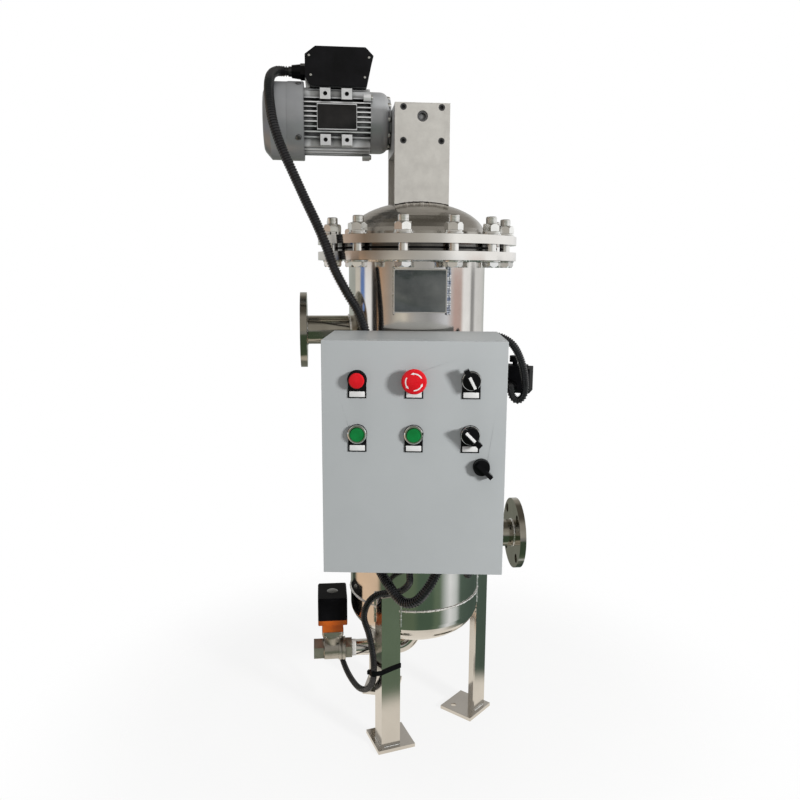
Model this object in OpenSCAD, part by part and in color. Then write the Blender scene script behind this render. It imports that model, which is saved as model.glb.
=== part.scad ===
// Self cleaning scraper filter: flanged vessel on three legs with a geared motor on the cover,
// a control cabinet in front and a motorised drain valve below. Millimetres, +Z up, floor at z = 0,
// vessel axis on Z, cabinet door towards -Y.

/* [Vessel] */
// Outer diameter of the shell
shell_d = 273; // [260:1:290]
// Wall of the shell, the bottom head and the cover
shell_wall = 4; // [3:0.5:6]
// Height of the weld seam between the shell and the bottom head
seam_z = 300; // [290:1:320]
// Straight skirt of the bottom head below the seam
head_skirt = 33; // [25:1:36]
// Height of the underside of the shell flange
flange_z = 990; // [960:1:1030]
// Turn of nozzles, legs and drive about the vessel axis, away from the cabinet
vessel_turn = 7.5; // [0:0.5:12]

/* [Cover joint] */
// Outer diameter of both main flanges
flange_d = 395; // [385:1:410]
// Thickness of each main flange
flange_t = 16; // [14:1:20]
// Gap between the flanges, filled by the raised faces and the gasket
face_gap = 14; // [10:0.5:16]
// Thickness of the gasket
gasket_t = 4; // [2:0.5:6]
// Bolt circle of the main flanges
stud_circle = 350; // [345:1:354]
// Number of studs
stud_count = 12; // [8:4:16]
// Diameter of the studs
stud_d = 20; // [16:1:22]
// Width of the nuts across flats
nut_af = 30; // [27:1:32]
// Height of the nuts
nut_h = 14; // [12:1:18]
// Height of the hexagon heads under the shell flange
head_h = 10; // [9:0.5:13]
// Length of stud that stands out of each nut
stud_over = 13; // [6:1:20]

/* [Nozzles] */
// Outer diameter of the nozzle pipes
nozzle_d = 57; // [50:0.5:64]
// Wall of the nozzle pipes
nozzle_wall = 3.5; // [2.5:0.5:5]
// Outer diameter of the nozzle flanges
nozzle_flange_d = 150; // [145:1:165]
// Thickness of the nozzle flanges
nozzle_flange_t = 13; // [12:1:20]
// Bolt circle of the nozzle flanges
nozzle_circle = 120.7; // [115:0.1:125]
// Diameter of the bolt holes in the nozzle flanges
nozzle_hole_d = 19; // [16:0.5:20]
// Height of the inlet, low on the right
inlet_z = 410; // [405:1:440]
// Distance of the inlet face from the vessel axis
inlet_reach = 226; // [205:1:240]
// Height of the outlet, high on the left
outlet_z = 852; // [840:1:870]
// Distance of the outlet face from the vessel axis
outlet_reach = 234; // [205:1:250]

/* [Legs] */
// Side of the angle iron
leg_side = 40; // [35:1:45]
// Thickness of the angle iron
leg_t = 4; // [3:0.5:5]
// Height of the top of the legs
leg_top = 332; // [322:1:345]
// Side of the square foot plates
foot_side = 80; // [76:1:90]
// Thickness of the foot plates
foot_t = 8; // [6:1:12]
// Distance from the outer faces of a leg to the edges of its foot plate
foot_margin = 10; // [5:1:12]
// Circle of the anchor holes
anchor_circle = 185; // [180:1:190]
// Diameter of the anchor holes
anchor_hole_d = 12; // [10:0.5:16]

/* [Drive] */
// Width of the two drive plates
plate_w = 104; // [100:1:120]
// Thickness of the drive plates
plate_t = 10; // [8:1:12]
// Clear distance between the drive plates
plate_gap = 120; // [120:1:126]
// Height of the top edge of the drive plates
plate_top = 1279; // [1276:1:1300]
// Height of the motor axis
drive_z = 1259; // [1255:1:1261]
// Distance of the worm behind the vessel axis
worm_offset = 40; // [38:0.5:42]
// Diameter of the fan cowl
cowl_d = 146; // [140:1:150]
// Length of the fan cowl
cowl_l = 78; // [70:1:90]
// Length of the finned motor frame
frame_l = 128; // [120:1:140]

/* [Screen and scraper] */
// Diameter of the scraper shaft
shaft_d = 30; // [26:1:34]
// Outer diameter of the filter screen
screen_d = 200; // [190:1:210]
// Height of the top of the partition that carries the screen
partition_z = 506; // [495:1:520]
// Height of the screen
screen_h = 470; // [440:1:474]

/* [Drain valve] */
// Outer diameter of the drain pipe
drain_d = 33.7; // [32:0.1:35]
// Height of the drain pipe and valve
drain_z = 158; // [152:1:159]
// Distance of the valve from the vessel axis
valve_reach = 176.5; // [174:0.5:185]
// Diameter of the valve ball
ball_d = 38; // [36:1:39]

/* [Cabinet] */
// Width of the cabinet
cabinet_w = 300; // [292:1:320]
// Height of the cabinet
cabinet_h = 392; // [385:1:410]
// Height of the top of the cabinet
cabinet_top = 861; // [850:1:865]
// Distance of the door front from the vessel axis
door_front = 346; // [340:1:356]
// Distance of the cabinet back from the vessel axis
cabinet_back = 151; // [149:1:156]
// Depth of the folded door
door_depth = 20; // [18:1:22]
// Sheet thickness of the cabinet
sheet = 1.5; // [1:0.1:2]
// Spacing of the control columns
control_pitch = 92; // [85:1:95]
// Distance between the two control rows
row_pitch = 89; // [80:1:95]

/* [Fits] */
// Radial clearance of a shaft in its bush
running_gap = 0.05; // [0.02:0.01:0.1]
// Clearance between parts that move past each other
moving_gap = 0.4; // [0.3:0.05:0.6]

/* [Hidden] */
$fn = 64;

shell_r = shell_d / 2;
bore_r = shell_r - shell_wall;
dish_rise = shell_d / 4;
head_bottom = seam_z - head_skirt - dish_rise;
face_rise = (face_gap - gasket_t) / 2;
stud_hole_d = stud_d + 2;
face_r = stud_circle / 2 - stud_hole_d / 2 - 4;
cover_z = flange_z + flange_t + face_gap;
dome_z = cover_z + flange_t;
slip_back = 3;
washer_t = 3;
washer_d = nut_af + 7;
spring_t = 4;
spring_d = nut_af + 3;

half_diagonal = leg_side / sqrt(2);
leg_corner_r = sqrt(shell_r * shell_r - half_diagonal * half_diagonal) + half_diagonal;
foot_r = leg_corner_r + (foot_margin - foot_side / 2) * sqrt(2);

shaft_r = shaft_d / 2;
case_w = plate_w;
case_bottom = drive_z - 67;
case_top = drive_z + 18;
case_lid_t = 8;
worm_r = 12;
wheel_r = worm_offset - worm_r - moving_gap;
wheel_h = 22;
wheel_room = wheel_r + 3;
rotor_shaft_r = 9.5;
screw_d = 8;
screw_head_d = 12;
screw_head_h = 6;
screw_grip = 14;
screw_x = 36;
screw_rows = [plate_top - 8, plate_top - 68];
plate_y = plate_gap / 2;

shield_l = 41;
shield_r = 58;
shield_x = case_w / 2;
frame_x = shield_x + shield_l;
cowl_x = frame_x + frame_l;
frame_core_r = 52;
frame_r = 63;
lug_angles = [56, 176, 296];
rotor_r = 34;
stator_gap = 1;
cowl_wall = 1.5;
fan_r = 58;

seal_r = 32;
seal_top = case_bottom;
screen_wall = 3;
screen_r = screen_d / 2;
top_plate_t = 8;
blade_r = screen_r - screen_wall - moving_gap;
partition_t = 10;
hub_r = 24;
hub_h = 22;

drain_bore_r = drain_d / 2 - 3.2;
elbow_r = 38;
valve_l = 82;
valve_hex_af = 41;
valve_hex_l = 21;
valve_r = 24.5;
thread_l = 14;
stem_r = 6;
neck_r = 13;
pad_r = 23;
pad_t = 6;
pad_z = drain_z + valve_r + 14;
bracket_t = 9.5;
base_z = pad_z + bracket_t;
base_h = 33;
base_w = 44;
base_front = 22;
base_back = 36;
base_step = 15.5;
base_slope = 7;
socket_h = 20;
cover_h = 49;
actuator_w = 62;
actuator_front = 36;
actuator_back = 50;
actuator_edge = 3;
window_r = 12;

cabinet_bottom = cabinet_top - cabinet_h;
door_back = door_front - door_depth;
hinge_inset = 6;
hinge_x = -cabinet_w / 2 + hinge_inset;
hinge_y = -door_back - 5;
hinge_r = 4;
hinge_pin_r = 2;
shoulder_y = hinge_y + 9.2;
rim_inset = 13;
rim_y = -door_front + 8;
rim_lip = 10;
row_top = cabinet_top - 63;
control_hole_r = 11.3;
lock_x = 111;
lock_z = cabinet_top - 205;
lock_r = 13.5;
lock_foot = 3;
gland_y = -250;
gland_x = [44, -6, 100];
gland_h = 26;
short_gland_h = 22;
switch_gland_h = 16;
switch_gland_z = 750;

switch_turn = -16;
switch_z = 736;
switch_r = 192;
switch_w = 46;
switch_d = 54;
switch_h = 48;

motor_conduit_d = 19;
valve_conduit_d = 13;
switch_conduit_d = 15;

// Places where the conduits start and end
terminal_x = -218;
terminal_z = drive_z + 93;
actuator_gland_z = 215;

// Routes of the conduits, hand-laid points
motor_route = [[-248, 8, 1352], [-262, 5, 1352], [-274, -8, 1349], [-280, -30, 1338], [-280, -54, 1320],
  [-277, -74, 1296], [-272, -90, 1268], [-266, -99, 1240], [-255, -104, 1206], [-243, -108, 1178],
  [-224, -114, 1138], [-204, -121, 1096], [-184, -130, 1056], [-166, -138, 1016], [-150, -146, 974],
  [-128, -146, 932], [-106, -141, 894], [-94, -136, 854], [-92, -134, 806], [-92, -134, 756],
  [-92, -134, 706], [-92, -134, 656], [-92, -134, 606], [-92, -134, 556], [-92, -135, 506],
  [-89, -142, 462], [-78, -160, 422], [-58, -184, 395], [-46, -203, 385], [-34, -219, 374],
  [-20, -232, 366], [-7, -242, 367], [7, -249, 375], [20, -253, 391], [31, -253, 408], [39, -251, 423],
  [44, -250, 434], [44, -250, 442.5]];
valve_route = [[-182.5, 35, 215], [-184.5, 50, 214], [-187, 66, 205], [-188, 76, 180], [-185, 76, 146],
  [-166, 56, 98], [-150, 26, 78], [-132, -10, 72], [-114, -50, 80], [-96, -92, 104], [-82, -126, 140],
  [-78, -144, 180], [-80, -152, 220], [-87, -158, 262], [-96, -162, 297], [-91, -165, 324],
  [-78, -170, 344], [-60, -178, 356], [-40, -188, 362], [-25, -202, 372], [-13, -222, 389],
  [-6, -240, 408], [-6, -249, 426], [-6, -250, 442.5]];
switch_route = [[185.1, -98.3, 750], [183.3, -104.6, 750], [183.5, -110.5, 744], [187, -113.5, 734],
  [194, -115, 727.5], [202, -115, 729], [208, -115.5, 738], [210, -116, 754], [206.5, -119, 782],
  [198, -123, 809], [185, -128, 832], [169, -130, 845], [150, -131, 850], [128, -132, 836],
  [116, -132, 806], [112, -132, 770], [112, -132, 730], [112, -132, 690], [112, -132, 650],
  [112, -132, 610], [112, -132, 570], [112, -132, 530], [111, -134, 490], [109, -146, 456],
  [106, -172, 435], [102, -205, 426], [100, -230, 422.5], [100, -245, 427], [100, -250, 435],
  [100, -250, 442.5]];

// Unit vector from a to b
function unit(a, b) = (b - a) / norm(b - a);
// Direction of a route at point i
function heading(p, i) = unit(p[max(i - 1, 0)], p[min(i + 1, len(p) - 1)]);
// Sideways unit vector square to a direction
function side_of(t) =
  let (s = cross(t, abs(t[2]) < 0.9 ? [0, 0, 1] : [0, 1, 0]))
  s / norm(s);
// Sideways vector carried along the route without twist
function carried(p, i) = i == 0 ? side_of(heading(p, 0)) :
  let (t = heading(p, i), s = carried(p, i - 1), q = s - t * (s * t))
  q / norm(q);

// Round tube of diameter d along the points p
module tube_along(p, d, sides = 10) {
  count = len(p);
  points = [for (i = [0:count - 1])
    let (t = heading(p, i), s = carried(p, i), u = cross(t, s))
    for (k = [0:sides - 1])
      p[i] + d / 2 * (s * cos(360 * k / sides) + u * sin(360 * k / sides))];
  walls = [for (i = [0:count - 2]) for (k = [0:sides - 1])
    [i * sides + k, (i + 1) * sides + k, (i + 1) * sides + (k + 1) % sides, i * sides + (k + 1) % sides]];
  first = [for (k = [0:sides - 1]) k];
  last = [for (k = [sides - 1:-1:0]) (count - 1) * sides + k];
  polyhedron(points, concat(walls, [first, last]));
}

// Turns from the cabinet's frame to the vessel's frame
module turned() rotate([0, 0, vessel_turn]) children();

// Lays a shape that stands on Z along the motor axis, with its front towards -X
module on_motor_axis() {
  turned() translate([0, worm_offset, drive_z]) rotate([0, -90, 0]) children();
}

// Square with round corners
module round_square(w, d, r) {
  square([w - 2 * r, d], center = true);
  square([w, d - 2 * r], center = true);
  for (x = [-1, 1]) for (y = [-1, 1]) {
    translate([x * (w / 2 - r), y * (d / 2 - r)]) circle(r, $fn = 32);
  }
}

// Points of a quarter ellipse from the rim to the pole
function quarter(r, rise, steps = 14) =
  [for (i = [0:steps]) [r * cos(90 * i / steps), rise * sin(90 * i / steps)]];

// Solid dished end on a skirt, pole upwards
module dish_solid(r, rise, skirt) {
  rotate_extrude($fn = 96) polygon(concat([[0, -skirt], [r, -skirt]], quarter(r, rise)));
}

// Dished end with an even wall
module dish(r, rise, skirt, wall, hole_r) {
  difference() {
    dish_solid(r, rise, skirt);
    translate([0, 0, -0.01]) dish_solid(r - wall, rise - wall, skirt + 1);
    cylinder(r = hole_r, h = rise + 1);
  }
}

// Round pattern of children on a circle
module on_circle(count, r, phase = 0) {
  for (k = [0:count - 1]) rotate([0, 0, phase + 360 * k / count]) translate([r, 0, 0]) children();
}

// Shell tube with an opening for each nozzle
module shell() {
  nozzle_open_r = nozzle_d / 2 - nozzle_wall + 1;
  color("#c9c8c4") difference() {
    translate([0, 0, seam_z]) cylinder(r = shell_r, h = flange_z + flange_t - slip_back - seam_z, $fn = 96);
    translate([0, 0, seam_z - 1]) cylinder(r = bore_r, h = flange_z + flange_t - seam_z + 2, $fn = 96);
    turned() translate([0, 0, inlet_z]) rotate([0, 90, 0]) cylinder(r = nozzle_open_r, h = shell_d);
    turned() translate([0, 0, outlet_z]) rotate([0, -90, 0]) cylinder(r = nozzle_open_r, h = shell_d);
  }
}

// Dished bottom head with the drain opening
module bottom_head() {
  color("#8f9488") translate([0, 0, seam_z - head_skirt]) mirror([0, 0, 1])
    dish(shell_r, dish_rise, head_skirt, shell_wall, drain_bore_r);
}

// Main flange with a raised face, face upwards
module main_flange() {
  difference() {
    union() {
      cylinder(d = flange_d, h = flange_t, $fn = 96);
      cylinder(r = face_r, h = flange_t + face_rise, $fn = 96);
    }
    translate([0, 0, -1]) cylinder(r = shell_r, h = flange_t + face_rise + 2, $fn = 96);
    turned() on_circle(stud_count, stud_circle / 2, 180 / stud_count) {
      translate([0, 0, -1]) cylinder(d = stud_hole_d, h = flange_t + 2, $fn = 32);
    }
  }
}

module shell_flange() {
  color("#c9c8c4") translate([0, 0, flange_z]) main_flange();
}

module cover_flange() {
  color("#c9c8c4") translate([0, 0, dome_z]) rotate([0, 0, 2 * vessel_turn]) mirror([0, 0, 1])
    mirror([0, 1, 0]) main_flange();
}

module cover_gasket() {
  color("#1b1b1c") translate([0, 0, flange_z + flange_t + face_rise]) difference() {
    cylinder(r = face_r, h = gasket_t, $fn = 96);
    translate([0, 0, -1]) cylinder(r = shell_r, h = gasket_t + 2, $fn = 96);
  }
}

module cover_dome() {
  skirt = flange_t - slip_back;
  color("#c9c8c4") translate([0, 0, dome_z]) dish(shell_r, dish_rise, skirt, shell_wall, shaft_r + 4);
}

// Heights of the head and the end of one stud
head_top = flange_z - washer_t;
stud_top = dome_z + washer_t + spring_t + nut_h + stud_over;

// Places on the stud circle
module at_studs() {
  turned() on_circle(stud_count, stud_circle / 2, 180 / stud_count) children();
}

// Hexagon with chamfered upper corners
module hexagon(h) {
  intersection() {
    cylinder(d = nut_af / cos(30), h = h, $fn = 6);
    cylinder(d1 = nut_af + h * 1.2, d2 = nut_af - 0.5, h = h, $fn = 48);
  }
}

// Studs with a hexagon head below and a chamfered end above
module cover_studs() {
  chamfer = 1.5;
  color("#d6d6d2") at_studs() {
    translate([0, 0, head_top]) mirror([0, 0, 1]) hexagon(head_h);
    translate([0, 0, head_top - 1]) cylinder(d = stud_d, h = stud_top - chamfer - head_top + 1, $fn = 32);
    translate([0, 0, stud_top - chamfer])
      cylinder(d1 = stud_d, d2 = stud_d - 2 * chamfer, h = chamfer, $fn = 32);
  }
}

module stud_nuts() {
  color("#cfcfcb") at_studs() translate([0, 0, dome_z + washer_t + spring_t]) difference() {
    hexagon(nut_h);
    translate([0, 0, -1]) cylinder(d = stud_d, h = nut_h + 2, $fn = 32);
  }
}

// Ring with a plain bore for a stud
module washer(d, t) {
  difference() {
    cylinder(d = d, h = t, $fn = 48);
    translate([0, 0, -1]) cylinder(d = stud_d, h = t + 2, $fn = 32);
  }
}

// Flat washers on both sides and a split spring washer under each nut
module stud_washers() {
  slit = 3;
  color("#bdbdb8") at_studs() {
    for (z = [dome_z, flange_z - washer_t]) translate([0, 0, z]) washer(washer_d, washer_t);
    translate([0, 0, dome_z + washer_t]) difference() {
      washer(spring_d, spring_t);
      rotate([0, 0, 100]) translate([0, -slit / 2, -1]) cube([spring_d, slit, spring_t + 2]);
    }
  }
}

// Nozzle pipe along +X, saddled on the shell
module nozzle_pipe(reach) {
  difference() {
    translate([bore_r, 0, 0]) rotate([0, 90, 0]) cylinder(d = nozzle_d, h = reach - bore_r);
    rotate([0, 90, 0]) cylinder(d = nozzle_d - 2 * nozzle_wall, h = reach + 1);
    translate([0, 0, -nozzle_d]) cylinder(r = shell_r, h = 2 * nozzle_d, $fn = 96);
  }
}

// Nozzle flange along +X, slipped over the pipe, bolt holes off the centre lines
module nozzle_flange(reach) {
  translate([reach - nozzle_flange_t, 0, 0]) rotate([0, 90, 0]) difference() {
    cylinder(d = nozzle_flange_d, h = nozzle_flange_t);
    translate([0, 0, -1]) cylinder(d = nozzle_d, h = nozzle_flange_t + 2);
    on_circle(4, nozzle_circle / 2, 45) translate([0, 0, -1])
      cylinder(d = nozzle_hole_d, h = nozzle_flange_t + 2);
  }
}

module at_inlet() turned() translate([0, 0, inlet_z]) children();
module at_outlet() turned() translate([0, 0, outlet_z]) rotate([0, 0, 180]) children();
module inlet_pipe() color("#c9c8c4") at_inlet() nozzle_pipe(inlet_reach);
module inlet_flange() color("#bfbdb8") at_inlet() nozzle_flange(inlet_reach);
module outlet_pipe() color("#c9c8c4") at_outlet() nozzle_pipe(outlet_reach);
module outlet_flange() color("#bfbdb8") at_outlet() nozzle_flange(outlet_reach);

// Angle iron with its corner outwards and its edges coped to the shell
module leg(angle) {
  cope_z = seam_z - head_skirt - dish_rise / 4;
  color("#c4c3be") difference() {
    rotate([0, 0, vessel_turn + angle]) translate([leg_corner_r, 0, foot_t]) rotate([0, 0, 135])
      linear_extrude(leg_top - foot_t) difference() {
        square(leg_side);
        translate([leg_t, leg_t]) square(leg_side);
      }
    translate([0, 0, cope_z]) cylinder(r = shell_r, h = leg_top, $fn = 96);
  }
}

module leg_right() leg(0);
module leg_rear() leg(120);
module leg_front() leg(240);

// Square foot plate, its diagonal radial, with an anchor hole towards the vessel axis
module foot(angle) {
  color("#b9b7b1") rotate([0, 0, vessel_turn + angle]) difference() {
    translate([foot_r, 0, 0]) rotate([0, 0, 45]) linear_extrude(foot_t) square(foot_side, center = true);
    translate([anchor_circle / 2, 0, -1]) cylinder(d = anchor_hole_d, h = foot_t + 2);
  }
}

module foot_right() foot(0);
module foot_rear() foot(120);
module foot_front() foot(240);

// Drain pipe: stub on the head, elbow and run to the valve
module drain_elbow() {
  run_end = valve_reach - valve_l / 2 + thread_l;
  drop = head_bottom - drain_z - elbow_r;
  color("#bdb9b0") turned() difference() {
    union() {
      translate([-elbow_r, 0, drain_z + elbow_r]) rotate([90, 0, 0])
        rotate_extrude(angle = -90, $fn = 64) translate([elbow_r, 0]) circle(d = drain_d, $fn = 48);
      translate([0, 0, drain_z + elbow_r]) cylinder(d = drain_d, h = drop + 4, $fn = 48);
      translate([-elbow_r, 0, drain_z]) rotate([0, -90, 0])
        cylinder(d = drain_d, h = run_end - elbow_r, $fn = 48);
    }
    translate([-elbow_r, 0, drain_z + elbow_r]) rotate([90, 0, 0])
      rotate_extrude(angle = -90, $fn = 64) translate([elbow_r, 0]) circle(r = drain_bore_r, $fn = 48);
    translate([0, 0, drain_z + elbow_r]) cylinder(r = drain_bore_r, h = drop + 6, $fn = 48);
    translate([-elbow_r, 0, drain_z]) rotate([0, -90, 0]) cylinder(r = drain_bore_r, h = run_end, $fn = 48);
    translate([0, 0, seam_z - head_skirt]) mirror([0, 0, 1]) dish_solid(shell_r, dish_rise, head_skirt);
  }
}

// Places the drain valve, flow along X, stem upwards
module at_valve() turned() translate([-valve_reach, 0, drain_z]) children();

// Two-ended ball valve body with a ringed joint and a neck that flares to the actuator pad
module valve_body() {
  hex_at = valve_l / 2 - valve_hex_l / 2;
  groove = 1.5;
  color("#a9a59c") at_valve() difference() {
    union() {
      for (s = [-1, 1]) translate([s * hex_at, 0, 0]) rotate([0, 90, 0])
        cylinder(d = valve_hex_af / cos(30), h = valve_hex_l, center = true, $fn = 6);
      rotate([0, 90, 0]) rotate_extrude()
        polygon([[0, -24], [17, -24], [valve_r - 2, -18], [valve_r - 2, 12], [valve_r, 12], [valve_r, 18],
          [valve_r - groove, 18.5], [valve_r - groove, 20.5], [valve_r, 21], [valve_r, 27], [0, 27]]);
      cylinder(r1 = neck_r, r2 = pad_r, h = pad_z - drain_z - pad_t);
      translate([0, 0, pad_z - drain_z - pad_t]) cylinder(r = pad_r, h = pad_t);
    }
    rotate([0, 90, 0]) cylinder(r = drain_bore_r - 1, h = valve_l + 2, center = true);
    for (s = [-1, 1]) translate([s * (valve_l / 2 - thread_l / 2 + 0.5), 0, 0]) rotate([0, 90, 0])
      cylinder(d = drain_d, h = thread_l + 1, center = true);
    sphere(d = ball_d + 2 * moving_gap);
    cylinder(r = stem_r + running_gap, h = valve_l);
  }
}

// Round plate between the valve pad and the actuator
module valve_bracket() {
  color("#8d8f90") at_valve() translate([0, 0, pad_z - drain_z]) difference() {
    linear_extrude(bracket_t) round_square(2 * pad_r, 2 * pad_r, 10);
    translate([0, 0, -1]) cylinder(r = stem_r + 2, h = bracket_t + 2);
  }
}

// Footprint of the actuator, behind and in front of the stem
module actuator_plan() {
  depth = actuator_front + actuator_back;
  translate([0, (actuator_back - actuator_front) / 2]) round_square(actuator_w, depth, 6);
}

// Lower half of the actuator: a narrow block that widens to the rim of the cover, with the stem's socket
module actuator_base() {
  rim = base_step + base_slope;
  w = actuator_w / 2;
  color("#c8631e") at_valve() translate([0, 0, base_z - drain_z]) difference() {
    intersection() {
      rotate([90, 0, 0]) linear_extrude(4 * actuator_w, center = true)
        polygon([[-base_w / 2, 0], [base_w / 2, 0], [base_w / 2, base_step], [w, rim], [w, base_h],
          [-w, base_h], [-w, rim], [-base_w / 2, base_step]]);
      rotate([90, 0, 90]) linear_extrude(2 * actuator_w, center = true)
        polygon([[-base_front, 0], [base_back, 0], [base_back, rim - 2], [actuator_back, rim],
          [actuator_back, base_h], [-actuator_front, base_h], [-actuator_front, rim],
          [-base_front, base_step]]);
      linear_extrude(base_h) actuator_plan();
    }
    translate([0, 0, -1]) cylinder(r = stem_r + running_gap, h = socket_h + 1);
  }
}

// Upper half of the actuator with chamfered top edges and a round recess for the indicator
module actuator_cover() {
  w = actuator_w / 2;
  e = actuator_edge;
  color("#17181a") at_valve() translate([0, 0, base_z + base_h - drain_z]) difference() {
    intersection() {
      rotate([90, 0, 0]) linear_extrude(4 * actuator_w, center = true)
        polygon([[-w, 0], [w, 0], [w, cover_h - e], [w - e, cover_h], [-w + e, cover_h], [-w, cover_h - e]]);
      rotate([90, 0, 90]) linear_extrude(2 * actuator_w, center = true)
        polygon([[-actuator_front, 0], [actuator_back, 0], [actuator_back, cover_h - e],
          [actuator_back - e, cover_h], [e - actuator_front, cover_h], [-actuator_front, cover_h - e]]);
      linear_extrude(cover_h) actuator_plan();
    }
    translate([0, (actuator_back - actuator_front) / 2, cover_h - 2]) cylinder(r = window_r, h = 3);
  }
}

// Drive plate along X, its lower edge cut to the dome, with screw holes and one access hole
module drive_plate(access_d) {
  difference() {
    translate([-plate_w / 2, 0, dome_z + 1]) cube([plate_w, plate_t, plate_top - dome_z - 1]);
    for (x = [-screw_x, screw_x]) for (z = screw_rows) translate([x, 0, z]) rotate([-90, 0, 0]) {
      translate([0, 0, -1]) cylinder(d = screw_d, h = plate_t + 2, $fn = 32);
      translate([0, 0, -1]) cylinder(d = screw_head_d, h = screw_head_h + 1, $fn = 32);
    }
    translate([0, -1, plate_top - 24]) rotate([-90, 0, 0]) cylinder(d = access_d, h = plate_t + 2, $fn = 48);
    translate([0, plate_y + plate_t, dome_z]) dish_solid(shell_r, dish_rise, 0);
  }
}

module front_plate() {
  color("#cbc7c1") turned() translate([0, -plate_y - plate_t, 0]) drive_plate(20);
}

module back_plate() {
  color("#cbc7c1") turned() rotate([0, 0, 180]) translate([0, -plate_y - plate_t, 0]) drive_plate(20);
}

// Screws of both plates into the gear case
module plate_screws() {
  color("#1c1c1e") turned() for (a = [0, 180]) rotate([0, 0, a]) {
    for (x = [-screw_x, screw_x]) for (z = screw_rows)
      translate([x, -plate_y - plate_t, z]) rotate([-90, 0, 0]) {
      difference() {
        cylinder(d = screw_head_d, h = screw_head_h, $fn = 32);
        translate([0, 0, -1]) cylinder(d = 7, h = 4, $fn = 6);
      }
      translate([0, 0, screw_head_h])
        cylinder(d = screw_d, h = plate_t - screw_head_h + screw_grip, $fn = 32);
    }
  }
}

// Gear case between the plates with the wheel chamber and the worm bore, and its bottom lid
module gearbox_housing() {
  case_d = plate_gap;
  worm_room = 52;
  worm_bore = case_w / 2 + 35;
  color("#9a9c9d") turned() {
    difference() {
      translate([-case_w / 2, -case_d / 2, case_bottom]) cube([case_w, case_d, case_top - case_bottom]);
      translate([0, 0, case_bottom - 1])
        cylinder(r = wheel_room, h = drive_z + wheel_h / 2 + 3 - case_bottom + 1);
      translate([-worm_room / 2, worm_offset, drive_z]) rotate([0, 90, 0])
        cylinder(r = worm_r + 1, h = worm_room);
      translate([-case_w / 2 - 1, worm_offset, drive_z]) rotate([0, 90, 0])
        cylinder(r = rotor_shaft_r + running_gap, h = worm_bore);
      for (a = [0, 180]) rotate([0, 0, a]) for (x = [-screw_x, screw_x]) for (z = screw_rows) {
        translate([x, -plate_y - 1, z]) rotate([-90, 0, 0])
          cylinder(d = screw_d, h = screw_grip + 1, $fn = 32);
      }
    }
    translate([0, 0, case_bottom]) difference() {
      cylinder(r = wheel_room, h = case_lid_t);
      translate([0, 0, -1]) cylinder(r = shaft_r + running_gap, h = case_lid_t + 2);
    }
  }
}

// Cross-section of the finned frame: core, parallel fins and flat mounting pads
module frame_section() {
  fin_pitch = 9;
  fin_t = 2.4;
  circle(frame_core_r, $fn = 96);
  intersection() {
    circle(frame_r, $fn = 96);
    union() {
      for (k = [-4:4]) translate([-frame_r, k * fin_pitch - fin_t / 2]) square([2 * frame_r, fin_t]);
      for (k = [-4:4]) translate([k * fin_pitch - fin_t / 2, -frame_r]) square([fin_t, 2 * frame_r]);
    }
  }
}

// Finned motor frame with its stator bore, mounting bosses, bolt lugs, plate seat and rear wall
module motor_frame() {
  boss_y = frame_core_r + 5;
  boss_w = 20;
  rear_t = 8;
  seat = [48, 10, 76];
  seat_at = 27;
  lug_r = 7;
  lug_l = 14;
  color("#b4b6b8") on_motor_axis() translate([0, 0, frame_x]) difference() {
    union() {
      linear_extrude(frame_l) frame_section();
      at_bosses() translate([0, 14 - boss_y, 0]) cube([boss_w, 34, boss_w], center = true);
      translate([-seat[0] / 2, -frame_r + 1, seat_at]) cube(seat);
      for (a = lug_angles) rotate([0, 0, -a]) {
        translate([frame_r + 3, 0, 0]) cylinder(r = lug_r, h = lug_l, $fn = 32);
        translate([frame_core_r - 4, -lug_r + 2, 0]) cube([frame_r - frame_core_r + 7, 2 * lug_r - 4, lug_l]);
      }
    }
    translate([0, 0, -1]) cylinder(r = rotor_r + stator_gap, h = frame_l - rear_t + 1);
    cylinder(r = rotor_shaft_r + running_gap, h = frame_l + 1);
    at_bosses() translate([0, -boss_y, 0]) rotate([90, 0, 0])
      cylinder(d = 8, h = boss_w, center = true, $fn = 32);
    translate([-seat[0] / 2 - 1, -frame_r - 1, seat_at - 1]) cube([seat[0] + 2, 2, seat[2] + 2]);
  }
}

// Places of the four mounting bosses on the front of the motor frame
module at_bosses() {
  for (h = [frame_l * 0.36, frame_l * 0.68]) for (s = [-1, 1]) translate([s * 42, 0, h]) children();
}

// Drive end shield, rounded towards the gear case
module motor_shield() {
  color("#b4b6b8") on_motor_axis() translate([0, 0, shield_x]) difference() {
    rotate_extrude($fn = 96) polygon([[0, 0], [45, 0], [45, 4], [49, 5.5], [53, 8.5], [56, 12.5], [57.5, 17],
      [shield_r, 21], [shield_r, shield_l], [0, shield_l]]);
    translate([0, 0, -1]) cylinder(r = rotor_shaft_r + running_gap, h = shield_l + 2);
    translate([0, 0, shield_l - 12]) cylinder(r = rotor_r + stator_gap, h = 13);
  }
}

// Sheet cowl over the fan, with rings of air slots in its end
module fan_cowl() {
  r = cowl_d / 2;
  end_r = r - 18;
  color("#a9abad") on_motor_axis() translate([0, 0, cowl_x]) difference() {
    rotate_extrude($fn = 96) polygon([[frame_core_r, 0], [r, 0], [r, cowl_l - 14], [end_r + 4, cowl_l - 2],
      [end_r, cowl_l], [0, cowl_l], [0, cowl_l - cowl_wall], [end_r - 1, cowl_l - cowl_wall],
      [r - cowl_wall, cowl_l - 15], [r - cowl_wall, cowl_wall], [frame_core_r, cowl_wall]]);
    for (ring = [[16, 8], [28, 14], [40, 20]]) on_circle(ring[1], ring[0]) {
      translate([0, 0, cowl_l - 4]) cylinder(d = 7, h = 8, $fn = 24);
    }
  }
}

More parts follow.
